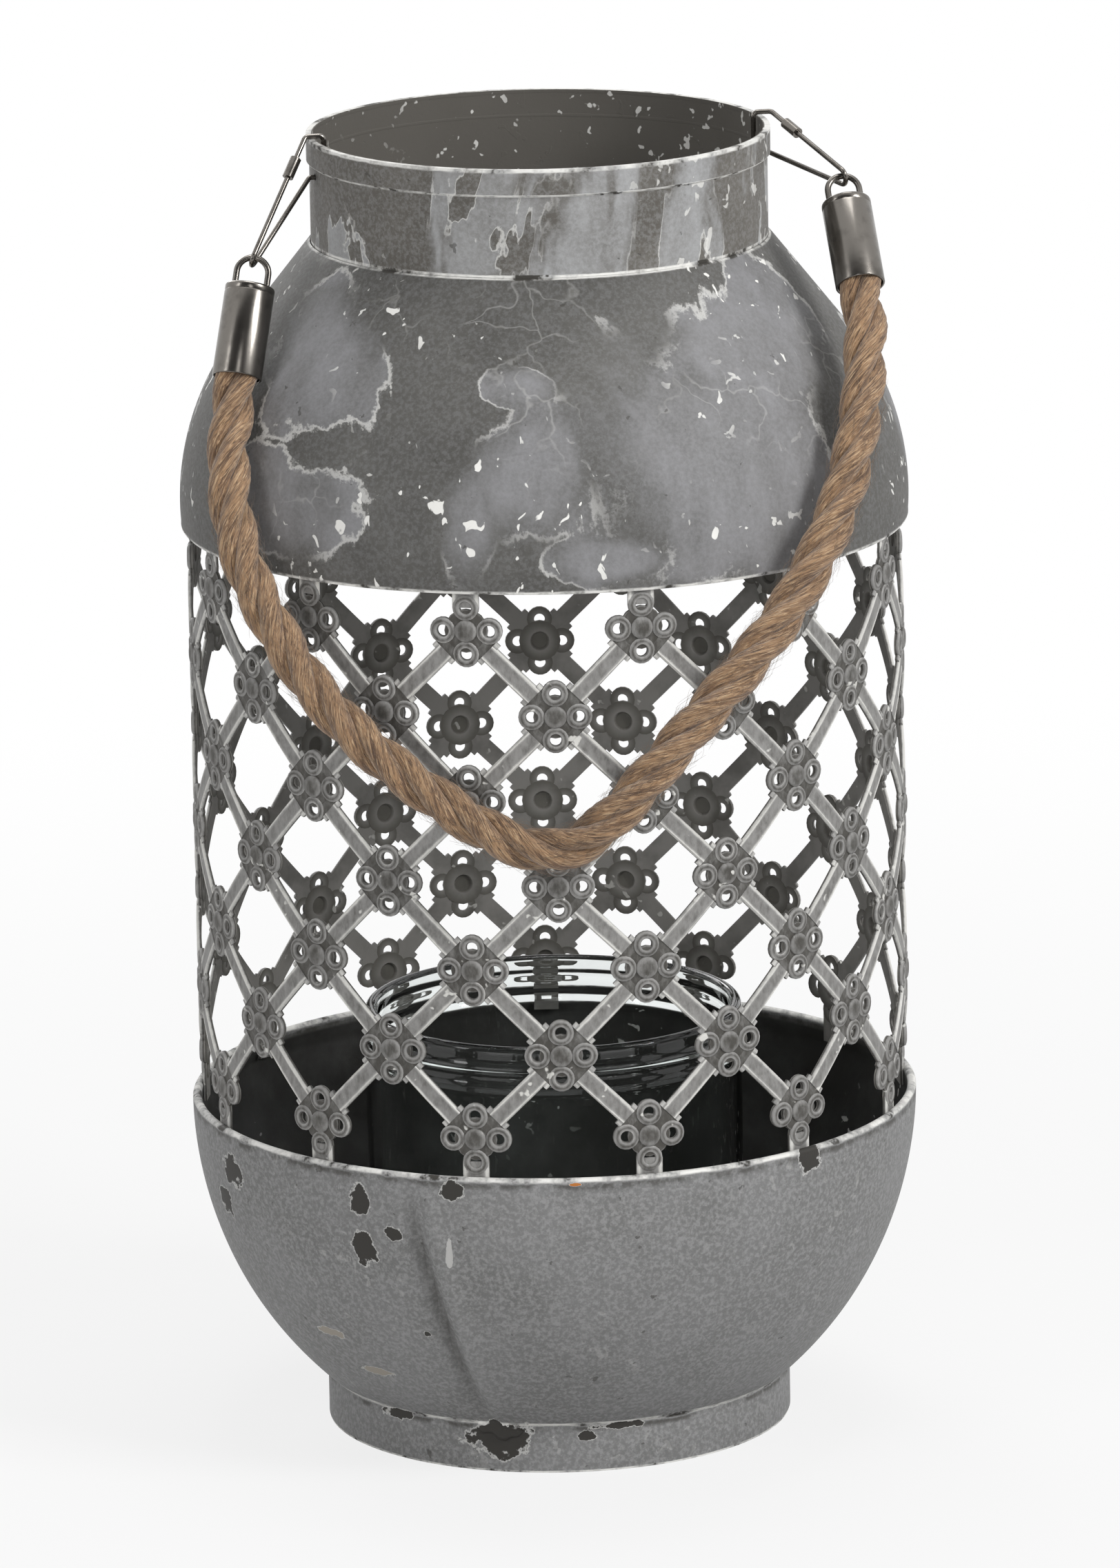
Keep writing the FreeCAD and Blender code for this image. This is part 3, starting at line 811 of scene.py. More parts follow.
@dataclass
class BowlBase:
    """The bowl, the ring under it and the weld between them."""

    rim_radius: float = 100.0
    rim_height: float = 92.4
    arc_radius: float = 105.0
    floor_height: float = 13.8
    sheet: float = 1.2
    hem: float = 2.4
    foot_radius: float = 64.2
    foot_wall: float = 2.0
    crease_top: float = -24.0
    crease_foot: float = -17.0
    crease_depth: float = 2.8
    # How strongly painted shade goes into the crease's groove and painted highlight onto its ridge.
    crease_shade_highlight_strength: float = 0.2
    crease_width: float = 2.4
    ridge_width: float = 3.0
    ridge_shift: float = 5.0
    dent: float = 0.22
    dent_seed: float = 0.8
    soft: float = 0.5
    weld_angle: float = -15.0
    weld_spread: float = 12.0
    weld_spots: int = 9
    weld_sides: int = 10
    weld_reach: Spot = (1.5, 3.4)

    def share(self, height: float) -> float:
        """Gives how far up the bowl's side a height is, from 0 to 1."""
        return min(max((height - self.floor_height) / (self.rim_height - self.floor_height), 0.0), 1.0)

    def crease(self, angle: float, radius: float, height: float) -> float:
        """Gives the crease's share at a place: above 0 in its groove, below 0 on its ridge.

        Args:
            angle: the angle round the bowl.
            radius: the radius in millimetres.
            height: the height in millimetres.
        Returns:
            The share.
        """
        share = self.share(height)
        at = math.radians(self.crease_foot + (self.crease_top - self.crease_foot) * share)
        off = radius * ((angle - at + math.pi) % (2 * math.pi) - math.pi)
        fade = math.sin(math.pi * min(share * 1.05, 1.0)) ** 0.5
        groove = math.exp(-((off / self.crease_width) ** 2))
        ridge = math.exp(-(((off - self.ridge_shift) / self.ridge_width) ** 2))
        return fade * (groove - 0.5 * ridge)

    def pushed(self, angle: float, radius: float, height: float) -> float:
        """Pushes the sheet in along the crease and dents it slowly elsewhere."""
        plain = dented(self.dent, self.dent_seed)(angle, radius, height) * min(1.0, 2 * self.share(height))
        return plain - self.crease_depth * self.crease(angle, radius, height)

    def crease_shade_and_highlight(self, angle: float, radius: float, height: float) -> float:
        """Paints shade into the crease's groove and a painted highlight on its ridge."""
        return -self.crease_shade_highlight_strength * self.crease(angle, radius, height)

    def bowl_profile(self) -> Profile:
        """Lists the bowl's profile, from under its floor to the floor inside.

        Returns:
            Radius, height and tone of each point.
        """
        centre = (self.rim_radius - self.arc_radius, self.rim_height)
        deep = self.rim_height - self.floor_height
        low = -math.degrees(math.asin(deep / self.arc_radius))
        outer = arc(centre, self.arc_radius, low, -1.0, 40)
        lip = arc((self.rim_radius - self.hem / 2, self.rim_height - 0.4), self.hem / 2, 10, 190, 10)
        inner_radius = self.arc_radius - self.sheet
        inside_low = -math.degrees(math.asin((deep - self.sheet) / inner_radius))
        fold = (self.rim_radius - self.hem, self.rim_height - 3.5, -1.0)
        inner = arc(centre, inner_radius, -3.0, inside_low, 40, -1.0)
        inside = [fold, *inner, (0, self.floor_height + self.sheet, -1.0)]
        return [(0, self.floor_height, 0.0), *outer, *lip, *inside]

    def foot_profile(self) -> Profile:
        """Lists the ring's profile, with softened edges.

        Returns:
            Radius, height and tone of each point.
        """
        out, top, soft = self.foot_radius, self.floor_height, self.soft
        bore = out - self.foot_wall
        return [
            (bore, 0.0, -1.0), (out - soft, 0.0, 0.0), (out - 0.1, 0.15, 0.0), (out, soft, 0.0),
            (out, top - soft, 0.0), (out - 0.15, top - 0.1, 0.0), (out - soft, top, 0.0), (bore, top, -1.0),
        ]

    def weld_mesh(self) -> bpy.types.Mesh:
        """Makes the uneven bead of weld on the seam.

        Returns:
            The mesh.
        """
        bag = MeshBag()
        rows = []
        for i in range(self.weld_spots):
            share = i / (self.weld_spots - 1)
            swell = math.sin(math.pi * share) ** 0.6
            angle = math.radians(self.weld_angle + self.weld_spread * (share - 0.5))
            middle = self.floor_height - 1.2 + 0.8 * math.sin(5 * share)
            out, up = (r * swell * (1.0 + 0.25 * math.sin(14 * share)) for r in self.weld_reach)
            points = [
                turned(self.foot_radius + 0.1 + out * math.cos(t), angle, middle + up * math.sin(t))
                for t in circle(self.weld_sides)
            ]
            rows.append(bag.row(points, [0.0] * self.weld_sides))
        bag.skin(rows)
        return bag.mesh("weld_bead", 80.0)

    def build(self, finish: bpy.types.Material) -> None:
        """Builds the bowl, the ring and the weld.

        Args:
            finish: their paint.
        """
        shell = lathe("bowl_shell", self.bowl_profile(), 360, self.pushed, shade=self.crease_shade_and_highlight)
        bowl = show("bowl_shell", shell, Body.LANTERN, finish)
        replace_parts(bowl, "bowl")
        foot_mesh = lathe("foot_band", self.foot_profile(), 240, dented(0.12, 2.0), True)
        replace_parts(show("foot_band", foot_mesh, Body.LANTERN, finish), "foot_ring")
        show("weld_bead", self.weld_mesh(), Body.LANTERN, finish)


@dataclass
class Shoulder:
    """The domed shoulder under the collar."""

    rim_radius: float = 99.0
    rim_height: float = 253.3
    arc_radius: float = 72.5
    centre_height: float = 259.6
    lip_radius: float = 62.7
    lip_height: float = 331.0
    sheet: float = 1.0

    def profile(self) -> Profile:
        """Lists the dome's profile as a loop: outside up, inside down.

        Returns:
            Radius, height and tone of each point.
        """
        drop = math.asin((self.rim_height - self.centre_height) / self.arc_radius)
        centre = (self.rim_radius - self.arc_radius * math.cos(drop), self.centre_height)
        run = (self.lip_radius - centre[0], self.lip_height - centre[1])
        turn = math.degrees(math.atan2(run[1], run[0]) - math.acos(self.arc_radius / math.hypot(*run)))
        outer = arc(centre, self.arc_radius, math.degrees(drop) + 1.2, turn, 40)
        last = outer[-1]
        steps = 12
        for i in range(1, steps + 1):
            reach = last[0] + (self.lip_radius - last[0]) * i / steps
            outer.append((reach, last[1] + (self.lip_height - last[1]) * i / steps, 0.0))
        inner = [(r - self.sheet * 0.9, z - self.sheet * 0.45, -1.0) for r, z, _ in reversed(outer)]
        rim, low = self.rim_radius, self.rim_height
        hem = [(rim - 0.2, low - 0.1, 0.0), (rim + 0.15, low + 0.4, 0.0)]
        end = [(rim - 1.5, low + 0.5, -1.0), (rim - 1.2, low - 0.1, -1.0)]
        return [*hem, *outer, (self.lip_radius - 0.5, self.lip_height + 0.2, 0.0), *inner, *end]

    def build(self, finish: bpy.types.Material, collar: bpy.types.Material) -> None:
        """Builds the dome and dresses the collar.

        Args:
            finish: the dome's paint.
            collar: the collar's paint.
        """
        mesh = lathe("dome_shell", self.profile(), 300, dented(0.25, 4.1), True)
        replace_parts(show("dome_shell", mesh, Body.LANTERN, finish), "dome")
        dress_node("neck_collar", collar)


@dataclass
class LatticeScreen:
    """The pressed flower lattice, rolled to a cylinder."""

    back_radius: float = 96.5
    sheet: float = 1.0
    columns: int = 13
    row_heights: tuple[float, ...] = (242.9, 219.65, 196.4, 173.15, 149.9, 126.65, 103.4)
    odd_angle: float = 15.0
    even_angle: float = 1.15
    top: float = 257.9
    bottom: float = 87.8
    petal_reach: float = 6.3
    petal_radius: float = 3.6
    petal_hole: float = 1.55
    petal_sides: int = 18
    petal_cross: tuple[Point, ...] = (
        (-1.0, -0.12, -0.75), (-1.0, 0.8, 0.1), (-0.7, 1.35, 0.6), (0.1, 1.45, -0.1),
        (0.8, 1.2, 0.6), (1.0, 0.7, 0.4), (1.0, -0.12, -1.0),
    )
    boss_sides: int = 16
    boss_rings: tuple[Point, ...] = (
        (0.4, 0.8, -1.0), (2.2, 0.7, -1.0), (2.8, -0.2, -0.75), (5.9, -0.2, -1.0), (5.9, 0.75, 0.2),
        (5.5, 0.95, -0.2), (3.1, 0.95, -0.2), (2.9, 1.5, 0.35), (2.3, 1.8, 0.15), (1.4, 1.95, -0.1),
        (0.4, 2.0, -0.1),
    )
    plate_start: float = 3.0
    plate_width: float = 6.2
    plate_overlap: float = 0.4
    plate_rub: float = -0.2
    ear_gap: float = 1.6
    ear_length: float = 1.5
    ear_width: float = 7.4
    ear_crown: float = 0.25
    ear_rub: float = 0.75
    bar_width: float = 5.0
    bar_step: float = 3.0
    tab_crown: float = 0.1
    bag: MeshBag = field(default_factory=MeshBag)

    def bent(self, across: float, height: float, lift: float) -> Point:
        """Rolls a point of the flat sheet round the axis.

        Args:
            across: its place along the sheet.
            height: its height.
            lift: how far it stands from the back of the sheet.
        Returns:
            The point.
        """
        return turned(self.back_radius + lift, across / (self.back_radius + self.sheet), height)

    def petal(self, across: float, height: float) -> None:
        """Adds one ring-shaped petal.

        Args:
            across: its middle along the sheet.
            height: its middle's height.
        """
        middle = (self.petal_radius + self.petal_hole) / 2
        half = (self.petal_radius - self.petal_hole) / 2
        rows = []
        for a in circle(self.petal_sides):
            points = []
            for share, lift, _ in self.petal_cross:
                reach = middle + share * half
                points.append(self.bent(across + reach * math.cos(a), height + reach * math.sin(a), lift))
            rows.append(self.bag.row(points, [tone for _, _, tone in self.petal_cross]))
        self.bag.skin(rows, looped=True)

    def boss(self, across: float, height: float) -> None:
        """Adds the plate of a flower with the domed stud in its middle.

        Args:
            across: its middle along the sheet.
            height: its middle's height.
        """
        rows = []
        for reach, lift, tone in self.boss_rings:
            points = [
                self.bent(across + reach * math.cos(a), height + reach * math.sin(a), lift)
                for a in circle(self.boss_sides)
            ]
            rows.append(self.bag.row(points, [tone] * self.boss_sides))
        self.bag.skin(rows, capped=True)

    def bar(self, start: Spot, end: Spot, width: float, crown: float = 0.4, rub: float = 1.0) -> None:
        """Adds one crowned bar.

        Args:
            start: where it starts, along the sheet and up.
            end: where it ends.
            width: its width.
            crown: how far its edges stand above its middle.
            rub: how much of its paint is rubbed off.
        """
        run = (end[0] - start[0], end[1] - start[1])
        length = math.hypot(*run)
        steps = max(1, round(length / self.bar_step))
        side = (-run[1] / length, run[0] / length)
        half = width / 2
        right = [
            (half, 0.0, -0.7), (half, 0.75, 0.8 * rub),
            (0.82 * half, 0.9 + crown, rub), (0.5 * half, 0.9 + 0.5 * crown, 0.3 * rub),
        ]
        cross = [*right, *((-off, lift, tone) for off, lift, tone in reversed(right))]
        rows = []
        for i in range(steps + 1):
            at = (start[0] + run[0] * i / steps, start[1] + run[1] * i / steps)
            points = [self.bent(at[0] + side[0] * o, at[1] + side[1] * o, lift) for o, lift, _ in cross]
            rows.append(self.bag.row(points, [tone for _, _, tone in cross]))
        self.bag.skin(rows, capped=True)

    def link(self, start: Spot, end: Spot) -> None:
        """Adds the bar between two flowers, with a plate and an ear at each end.

        Args:
            start: the upper flower's middle.
            end: the lower flower's middle.
        """
        run = (end[0] - start[0], end[1] - start[1])
        length = math.hypot(*run)

        def along(distance: float) -> Spot:
            """Gives the point at a distance from the start."""
            return start[0] + run[0] * distance / length, start[1] + run[1] * distance / length

        clear = self.petal_reach + self.ear_gap
        self.bar(along(clear), along(length - clear), self.bar_width)
        over = clear + self.plate_overlap
        for first, last in ((self.plate_start, over), (length - over, length - self.plate_start)):
            self.bar(along(first), along(last), self.plate_width, 0.0, self.plate_rub)
        for first in (clear, length - clear - self.ear_length):
            last = first + self.ear_length
            self.bar(along(first), along(last), self.ear_width, self.ear_crown, self.ear_rub)

    def flower(self, across: float, height: float) -> None:
        """Adds four petals and the plate between them.

        Args:
            across: the flower's middle along the sheet.
            height: its middle's height.
        """
        for side, up in ((1, 0), (-1, 0), (0, 1), (0, -1)):
            self.petal(across + side * self.petal_reach, height + up * self.petal_reach)
        self.boss(across, height)

    def build(self, finish: bpy.types.Material) -> None:
        """Builds every flower, bar and tab as one piece.

        Args:
            finish: its paint.
        """
        radius = self.back_radius + self.sheet
        pitch = 2 * math.pi * radius / self.columns
        last = len(self.row_heights) - 1
        tabs = {0: (self.petal_reach, self.top), last: (-self.petal_reach, self.bottom)}
        for row, height in enumerate(self.row_heights):
            first = math.radians(self.even_angle if row % 2 else self.odd_angle) * radius
            for column in range(self.columns):
                across = first + pitch * column
                self.flower(across, height)
                for side in (-0.5, 0.5) if row < last else ():
                    self.link((across, height), (across + side * pitch, self.row_heights[row + 1]))
                if row in tabs:
                    rise, end = tabs[row]
                    self.bar((across, height + rise), (across, end), 2 * self.petal_radius, self.tab_crown)
        mesh = self.bag.mesh("lattice_relief", 50.0)
        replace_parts(show("lattice_relief", mesh, Body.LANTERN, finish), "lattice_screen")


@dataclass
class RopeHandle:
    """The twisted rope and its nickel fittings."""

    diameter: float = 12.0
    strands: int = 3
    lay: float = 47.0
    mouths: tuple[Point, ...] = ((-81.725, -48.157, 302.814), (85.917, -35.039, 322.472))
    eyes: tuple[Point, ...] = ((-76.491, -34.277, 332.850), (81.591, -14.611, 348.668))
    cap_radius: float = 6.7
    cap_length: float = 25.5
    cap_bore: float = 6.05
    cap_depth: float = 4.0
    route: tuple[Point, ...] = (
        (-81.1, -46.5, 306.4), (-83.4, -52.6, 293.2), (-84.4, -62.8, 280.0), (-83.0, -69.6, 266.2),
        (-78.4, -77.5, 252.6), (-69.4, -86.0, 237.0), (-59.4, -94.0, 223.8), (-45.6, -100.5, 210.9),
        (-28.6, -105.0, 198.7), (-17.8, -106.5, 191.6), (-7.8, -107.5, 186.7), (2.2, -107.8, 185.2),
        (11.4, -107.5, 189.5), (19.7, -106.5, 197.1), (30.0, -104.5, 208.4), (43.0, -100.5, 222.4),
        (55.2, -95.5, 235.3), (65.9, -88.5, 248.1), (75.0, -79.8, 263.0), (81.6, -69.8, 278.0),
        (85.3, -57.5, 293.5), (86.4, -49.8, 303.2), (87.2, -41.1, 314.7), (85.4, -32.6, 325.6),
    )
    strand_share: float = 0.262
    strand_sides: int = 16
    yarns: int = 6
    yarn_lay: float = 9.0
    hairs: int = 2600
    hair_seed: int = 7
    hair_margin: int = 30
    hair_reach: Spot = (2.0, 7.0)
    hair_lift: Spot = (0.3, 2.0)
    hair_sway: Spot = (-2.0, 2.0)
    hair_radius: float = 0.048
    hair_steps: int = 4
    hair_sides: int = 3

    def line(self) -> list[Vector]:
        """Reads points along the route's own spline.

        Returns:
            The points, in millimetres.
        """
        curve = bpy.data.curves.new("rope_line", "CURVE")
        curve.dimensions = "3D"
        curve.resolution_u = 14
        spline = curve.splines.new("NURBS")
        spline.points.add(len(self.route) - 1)
        for point, place in zip(spline.points, self.route):
            point.co = (*(c * MM for c in place), 1.0)
        spline.order_u = 3
        spline.use_endpoint_u = True
        holder = bpy.data.objects.new("rope_line", curve)
        bpy.context.scene.collection.objects.link(holder)
        bpy.context.view_layer.update()
        mesh = bpy.data.meshes.new_from_object(holder)
        points = [v.co / MM for v in mesh.vertices]
        bpy.data.meshes.remove(mesh)
        bpy.data.objects.remove(holder)
        bpy.data.curves.remove(curve)
        return points

    def frames(self, points: Sequence[Vector]) -> list[tuple[Vector, Vector, float]]:
        """Carries a cross-section along the line without twist.

        Args:
            points: the line.
        Returns:
            Two directions across the line and the length so far, at each point.
        """
        across = Vector((1, 0, 0))
        found = []
        run = 0.0
        for i, point in enumerate(points):
            ahead = (points[min(i + 1, len(points) - 1)] - points[max(i - 1, 0)]).normalized()
            across = (across - ahead * across.dot(ahead)).normalized()
            run += (point - points[i - 1]).length if i else 0.0
            found.append((across.copy(), ahead.cross(across), run))
        return found

    def strand_mesh(self, points: Sequence[Vector]) -> bpy.types.Mesh:
        """Lays the strands round the line.

        Args:
            points: the line.
        Returns:
            The mesh, whose map runs along and round each strand.
        """
        bag = MeshBag()
        thick = self.strand_share * self.diameter
        out = self.diameter / 2 - thick
        places = []
        for strand in range(self.strands):
            rows = []
            for point, (right, up, run) in zip(points, self.frames(points)):
                turn = 2 * math.pi * (run / self.lay + strand / self.strands)
                outward = right * math.cos(turn) + up * math.sin(turn)
                beside = right * -math.sin(turn) + up * math.cos(turn)
                ring, tones = [], []
                for k, step in enumerate(circle(self.strand_sides)):
                    a = math.pi + step
                    yarn = math.cos(self.yarns * a - 2 * math.pi * run / self.yarn_lay)
                    lobe = thick * (1 + 0.025 * yarn)
                    reach = out + lobe * math.cos(a)
                    ring.append(point + outward * reach + beside * lobe * 1.04 * math.sin(a))
                    # A tone below 0 on each strand's inner side, where the fibre paints shade in the grooves
                    # between strands.
                    tones.append(min(0.0, math.cos(a) + 0.15))
                    places.append((run / self.diameter + 7.3 * strand, k / self.strand_sides))
                rows.append(bag.row(ring, tones))
            bag.skin(rows, capped=True)
        mesh = bag.mesh("rope_strands", 80.0)
        layer = mesh.uv_layers.new(name="fibre")
        for face in mesh.polygons:
            seam = max(places[v][1] for v in face.vertices) > 0.9
            for loop in face.loop_indices:
                run, turn = places[mesh.loops[loop].vertex_index]
                layer.data[loop].uv = (run, turn + 1.0 if seam and turn < 0.5 else turn)
        return mesh

    def fuzz_mesh(self, points: Sequence[Vector]) -> bpy.types.Mesh:
        """Scatters loose hairs along the rope.

        Args:
            points: the line.
        Returns:
            The mesh.
        """
        dice = random.Random(self.hair_seed)
        bag = MeshBag()
        frames = self.frames(points)
        for _ in range(self.hairs):
            i = dice.randrange(self.hair_margin, len(points) - self.hair_margin)
            right, up, _ = frames[i]
            a = dice.uniform(0, 2 * math.pi)
            outward = right * math.cos(a) + up * math.sin(a)
            ahead = (points[i + 1] - points[i]).normalized() * dice.choice((-1, 1))
            side = outward.cross(ahead)
            spans = (self.hair_reach, self.hair_lift, self.hair_sway)
            reach, lift, sway = (dice.uniform(*span) for span in spans)
            root = points[i] + outward * (self.diameter / 2 - 0.7)
            rows = []
            for step in range(self.hair_steps + 1):
                t = step / self.hair_steps
                rise = outward * lift * (t * (1.6 - 0.6 * t))
                middle = root + ahead * reach * t + rise + side * sway * t * t
                wide = self.hair_radius * (1 - 0.6 * t)
                ring = [outward * math.cos(b) + side * math.sin(b) for b in circle(self.hair_sides)]
                rows.append(bag.row([middle + across * wide for across in ring], [0.0] * self.hair_sides))
            bag.skin(rows)
        mesh = bag.mesh("rope_hairs", 80.0)
        mesh.uv_layers.new(name="fibre")
        return mesh

    def cap_mesh(self, name: str, mouth: Sequence[float], eye: Sequence[float]) -> bpy.types.Mesh:
        """Turns one rope cap, with softened edges, and sets it on the rope's end.

        Args:
            name: the mesh's name.
            mouth: the middle of its open end.
            eye: where its ring hangs, on its axis.
        Returns:
            The mesh.
        """
        out, top, bore, deep = self.cap_radius, self.cap_length, self.cap_bore, self.cap_depth
        lip = [(0, deep, -1.0), (bore, deep, -1.0), (bore, 0.15, 0.0), (bore + 0.15, 0.0, 0.0)]
        heel = arc((out - 0.35, 0.35), 0.35, -90, 0, 4)
        groove = [(out, top - 2.2, 0.0), (out - 0.12, top - 1.9, 0.0), (out, top - 1.6, 0.0)]
        crown = arc((out - 0.7, top - 0.7), 0.7, 0, 90, 6)
        mesh = lathe(name, [*lip, *heel, *groove, *crown, (0, top, 0.0)], 72)
        place = Vector(mouth) * MM
        turn = (Vector(eye) * MM - place).to_track_quat("Z", "Y").to_matrix().to_4x4()
        mesh.transform(Matrix.Translation(place) @ turn)
        return mesh

    def build(self, fibre: bpy.types.Material, plate: bpy.types.Material) -> None:
        """Builds the rope and its caps and dresses its other fittings.

        Args:
            fibre: the rope's finish.
            plate: the fittings' finish.
        """
        points = self.line()
        rope = show("rope_strands", self.strand_mesh(points), Body.HANDLE, fibre)
        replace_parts(rope, "rope_handle")
        hairs = show("rope_hairs", self.fuzz_mesh(points), Body.HANDLE, fibre)
        for side, mouth, eye in zip(("left", "right"), self.mouths, self.eyes):
            mesh = self.cap_mesh(f"{side}_cap", mouth, eye)
            cap = show(f"{side}_cap", mesh, Body.HANDLE, plate)
            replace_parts(cap, f"{side}_ferrule")
            for part in ("eye_ring", "wire_loop", "loop_sleeve"):
                dress_node(f"{side}_{part}", plate)


@dataclass
class GlassJar:
    """The loose glass cylinder in the bowl."""

    radius: float = 52.0
    foot: float = 15.0
    top: float = 116.5
    wall: float = 3.0
    floor: float = 5.0
    beads: tuple[float, ...] = (110.5, 104.9)
    bulge: float = 0.67

    def profile(self) -> Profile:
        """Lists the jar's profile, from under its floor to the floor inside.

        Returns:
            Radius, height and tone of each point.
        """
        steps = 110
        low, high = self.foot + 3.0, self.top - self.wall / 2
        side = []
        for i in range(steps + 1):
            height = low + (high - low) * i / steps
            swell = sum(math.exp(-(((height - b) / 1.1) ** 2)) for b in self.beads)
            side.append((self.radius + self.bulge * swell, height, 0.0))
        heel = arc((self.radius - 3.0, self.foot + 3.0), 3.0, -90, -8, 8)
        mouth = arc((self.radius - self.wall / 2, high), self.wall / 2, 8, 172, 10)
        bore = self.radius - self.wall
        toe = arc((bore - 2.5, self.foot + self.floor + 2.5), 2.5, 0, -90, 6)
        inside = [(bore, high, 0.0), *toe, (0, self.foot + self.floor, 0.0)]
        return [(0, self.foot, 0.0), *heel, *side, *mouth, *inside]

    def build(self, finish: bpy.types.Material) -> None:
        """Builds the jar.

        Args:
            finish: its glass.
        """
        jar = show("jar_glass", lathe("jar_glass", self.profile(), 200), Body.GLASS, finish)
        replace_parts(jar, "glass_jar")


@dataclass
class Studio:
    """The camera, the floor and the lights."""

    place: Point = (0.0, -2.886, 0.875)
    lens: float = 248.1
    sensor: float = 36.0
    yaw: float = 0.059
    pitch: float = 13.58
    roll: float = -0.989
    floor_half: float = 6.0
    floor_colour: Colour = (0.62, 0.62, 0.62, 1.0)
    cloth_colour: Colour = (0.02, 0.02, 0.02, 1.0)
    sky_level: float = 0.24
    target: Point = (0.0, 0.0, 0.2)
    lamps: tuple[tuple[Point, Spot, float], ...] = (
        ((1.7, -1.1, 1.5), (0.8, 0.8), 44.0),
        ((-1.7, -1.4, 1.1), (1.0, 1.0), 14.0),
        ((-0.9, 1.8, 1.3), (1.0, 1.0), 14.0),
        ((0.1, 0.3, 2.3), (1.0, 1.0), 18.0),
        ((0.0, -1.2, 0.55), (0.24, 0.9), 2.0),
        ((-0.3, -1.7, 0.2), (0.9, 0.3), 3.0),
    )

    def camera(self) -> None:
        """Puts the camera where the photograph was taken from."""
        yaw, pitch, roll = (math.radians(v) for v in (self.yaw, self.pitch, self.roll))
        ahead = Vector((math.sin(yaw) * math.cos(pitch), math.cos(yaw) * math.cos(pitch), -math.sin(pitch)))
        flat = Vector((math.cos(yaw), -math.sin(yaw), 0.0))
        over = flat.cross(ahead)
        right = flat * math.cos(roll) + over * math.sin(roll)
        up = over * math.cos(roll) - flat * math.sin(roll)
        data = bpy.data.cameras.new("camera")
        data.sensor_fit = "VERTICAL"
        data.sensor_height = self.sensor
        data.lens = self.lens
        data.clip_end = 50.0
        shot = bpy.data.objects.new("camera", data)
        turn = Matrix((right, up, -ahead)).transposed().to_4x4()
        shot.matrix_world = Matrix.Translation(self.place) @ turn
        bpy.context.scene.collection.objects.link(shot)
        bpy.context.scene.camera = shot

    def seen(self, g: Graph) -> Sock:
        """Tells which rays show the background.

        Args:
            g: the graph of the floor or the world.
        Returns:
            A mask that is 1 for such rays.
        """
        rays = ("Is Camera Ray", "Is Glossy Ray", "Is Transmission Ray")
        camera, glossy, through = (g.node("ShaderNodeLightPath", out=ray) for ray in rays)
        return camera | glossy | through

    def sheet(self, name: str, corners: Sequence[Point]) -> bpy.types.Object:
        """Puts a flat piece of the studio in the scene.

        Args:
            name: the piece's name.
            corners: its four corners, in metres.
        Returns:
            The piece.
        """
        mesh = bpy.data.meshes.new(name)
        mesh.from_pydata(corners, [], [(0, 1, 2, 3)])
        piece = bpy.data.objects.new(name, mesh)
        bpy.context.scene.collection.objects.link(piece)
        return piece

    def floor(self) -> None:
        """Lays a white floor that keeps a soft shadow."""
        half = self.floor_half
        piece = self.sheet("floor", [(-half, -half, 0), (half, -half, 0), (half, half, 0), (-half, half, 0)])
        g = Graph(bpy.data.materials.new("floor_white"))
        matt = g.node("ShaderNodeBsdfDiffuse", {}, {"Color": self.floor_colour})
        far = g.length(g.place).rise(0.25, 0.9)
        glow = g.node("ShaderNodeEmission", {}, {"Color": WHITE, "Strength": 1.0})
        blend = g.node("ShaderNodeMixShader", {}, {0: self.seen(g) * (0.8 + 0.2 * far), 1: matt, 2: glow})
        g.node("ShaderNodeOutputMaterial", {}, {"Surface": blend})
        piece.data.materials.append(g.owner)

    def sky(self) -> None:
        """Makes the world white to the eye and soft as a light."""
        world = bpy.data.worlds.new("studio")
        bpy.context.scene.world = world
        g = Graph(world)
        level = g.node("ShaderNodeMapRange", {}, {"Value": self.seen(g), "To Min": self.sky_level})
        shade = g.node("ShaderNodeBackground", {}, {"Color": WHITE, "Strength": level})
        g.node("ShaderNodeOutputWorld", {}, {"Surface": shade})

    def light(self) -> None:
        """Hangs the soft lamps."""
        for i, (place, size, power) in enumerate(self.lamps):
            data = bpy.data.lights.new(f"lamp_{i}", "AREA")
            data.shape = "RECTANGLE"
            data.size, data.size_y = size
            data.energy = power
            lamp = bpy.data.objects.new(f"lamp_{i}", data)
            lamp.location = place
            aim = Vector(self.target) - Vector(place)
            lamp.rotation_euler = aim.to_track_quat("-Z", "Y").to_euler()
            bpy.context.scene.collection.objects.link(lamp)

    def flag(self) -> None:
        """Hangs a dark cloth before the lantern, which only shows in bright metal and glass."""
        wide, low, high, back = 1.7, 0.0, 2.4, -1.25
        corners = [(-wide, back, low), (wide, back, low), (wide, back, high), (-wide, back, high)]
        piece = self.sheet("dark_cloth", corners)
        piece.visible_camera = False
        piece.visible_diffuse = False
        piece.visible_shadow = False
        g = Graph(bpy.data.materials.new("dark_cloth"))
        piece.data.materials.append(g.surface({"Base Color": self.cloth_colour, "Roughness": 0.9}))

    def build(self) -> None:
        """Sets the whole studio up."""
        self.camera()
        self.floor()
        self.flag()
        self.sky()
        self.light()
        bpy.context.scene.view_settings.view_transform = "Standard"
        LOG.info("studio set up")


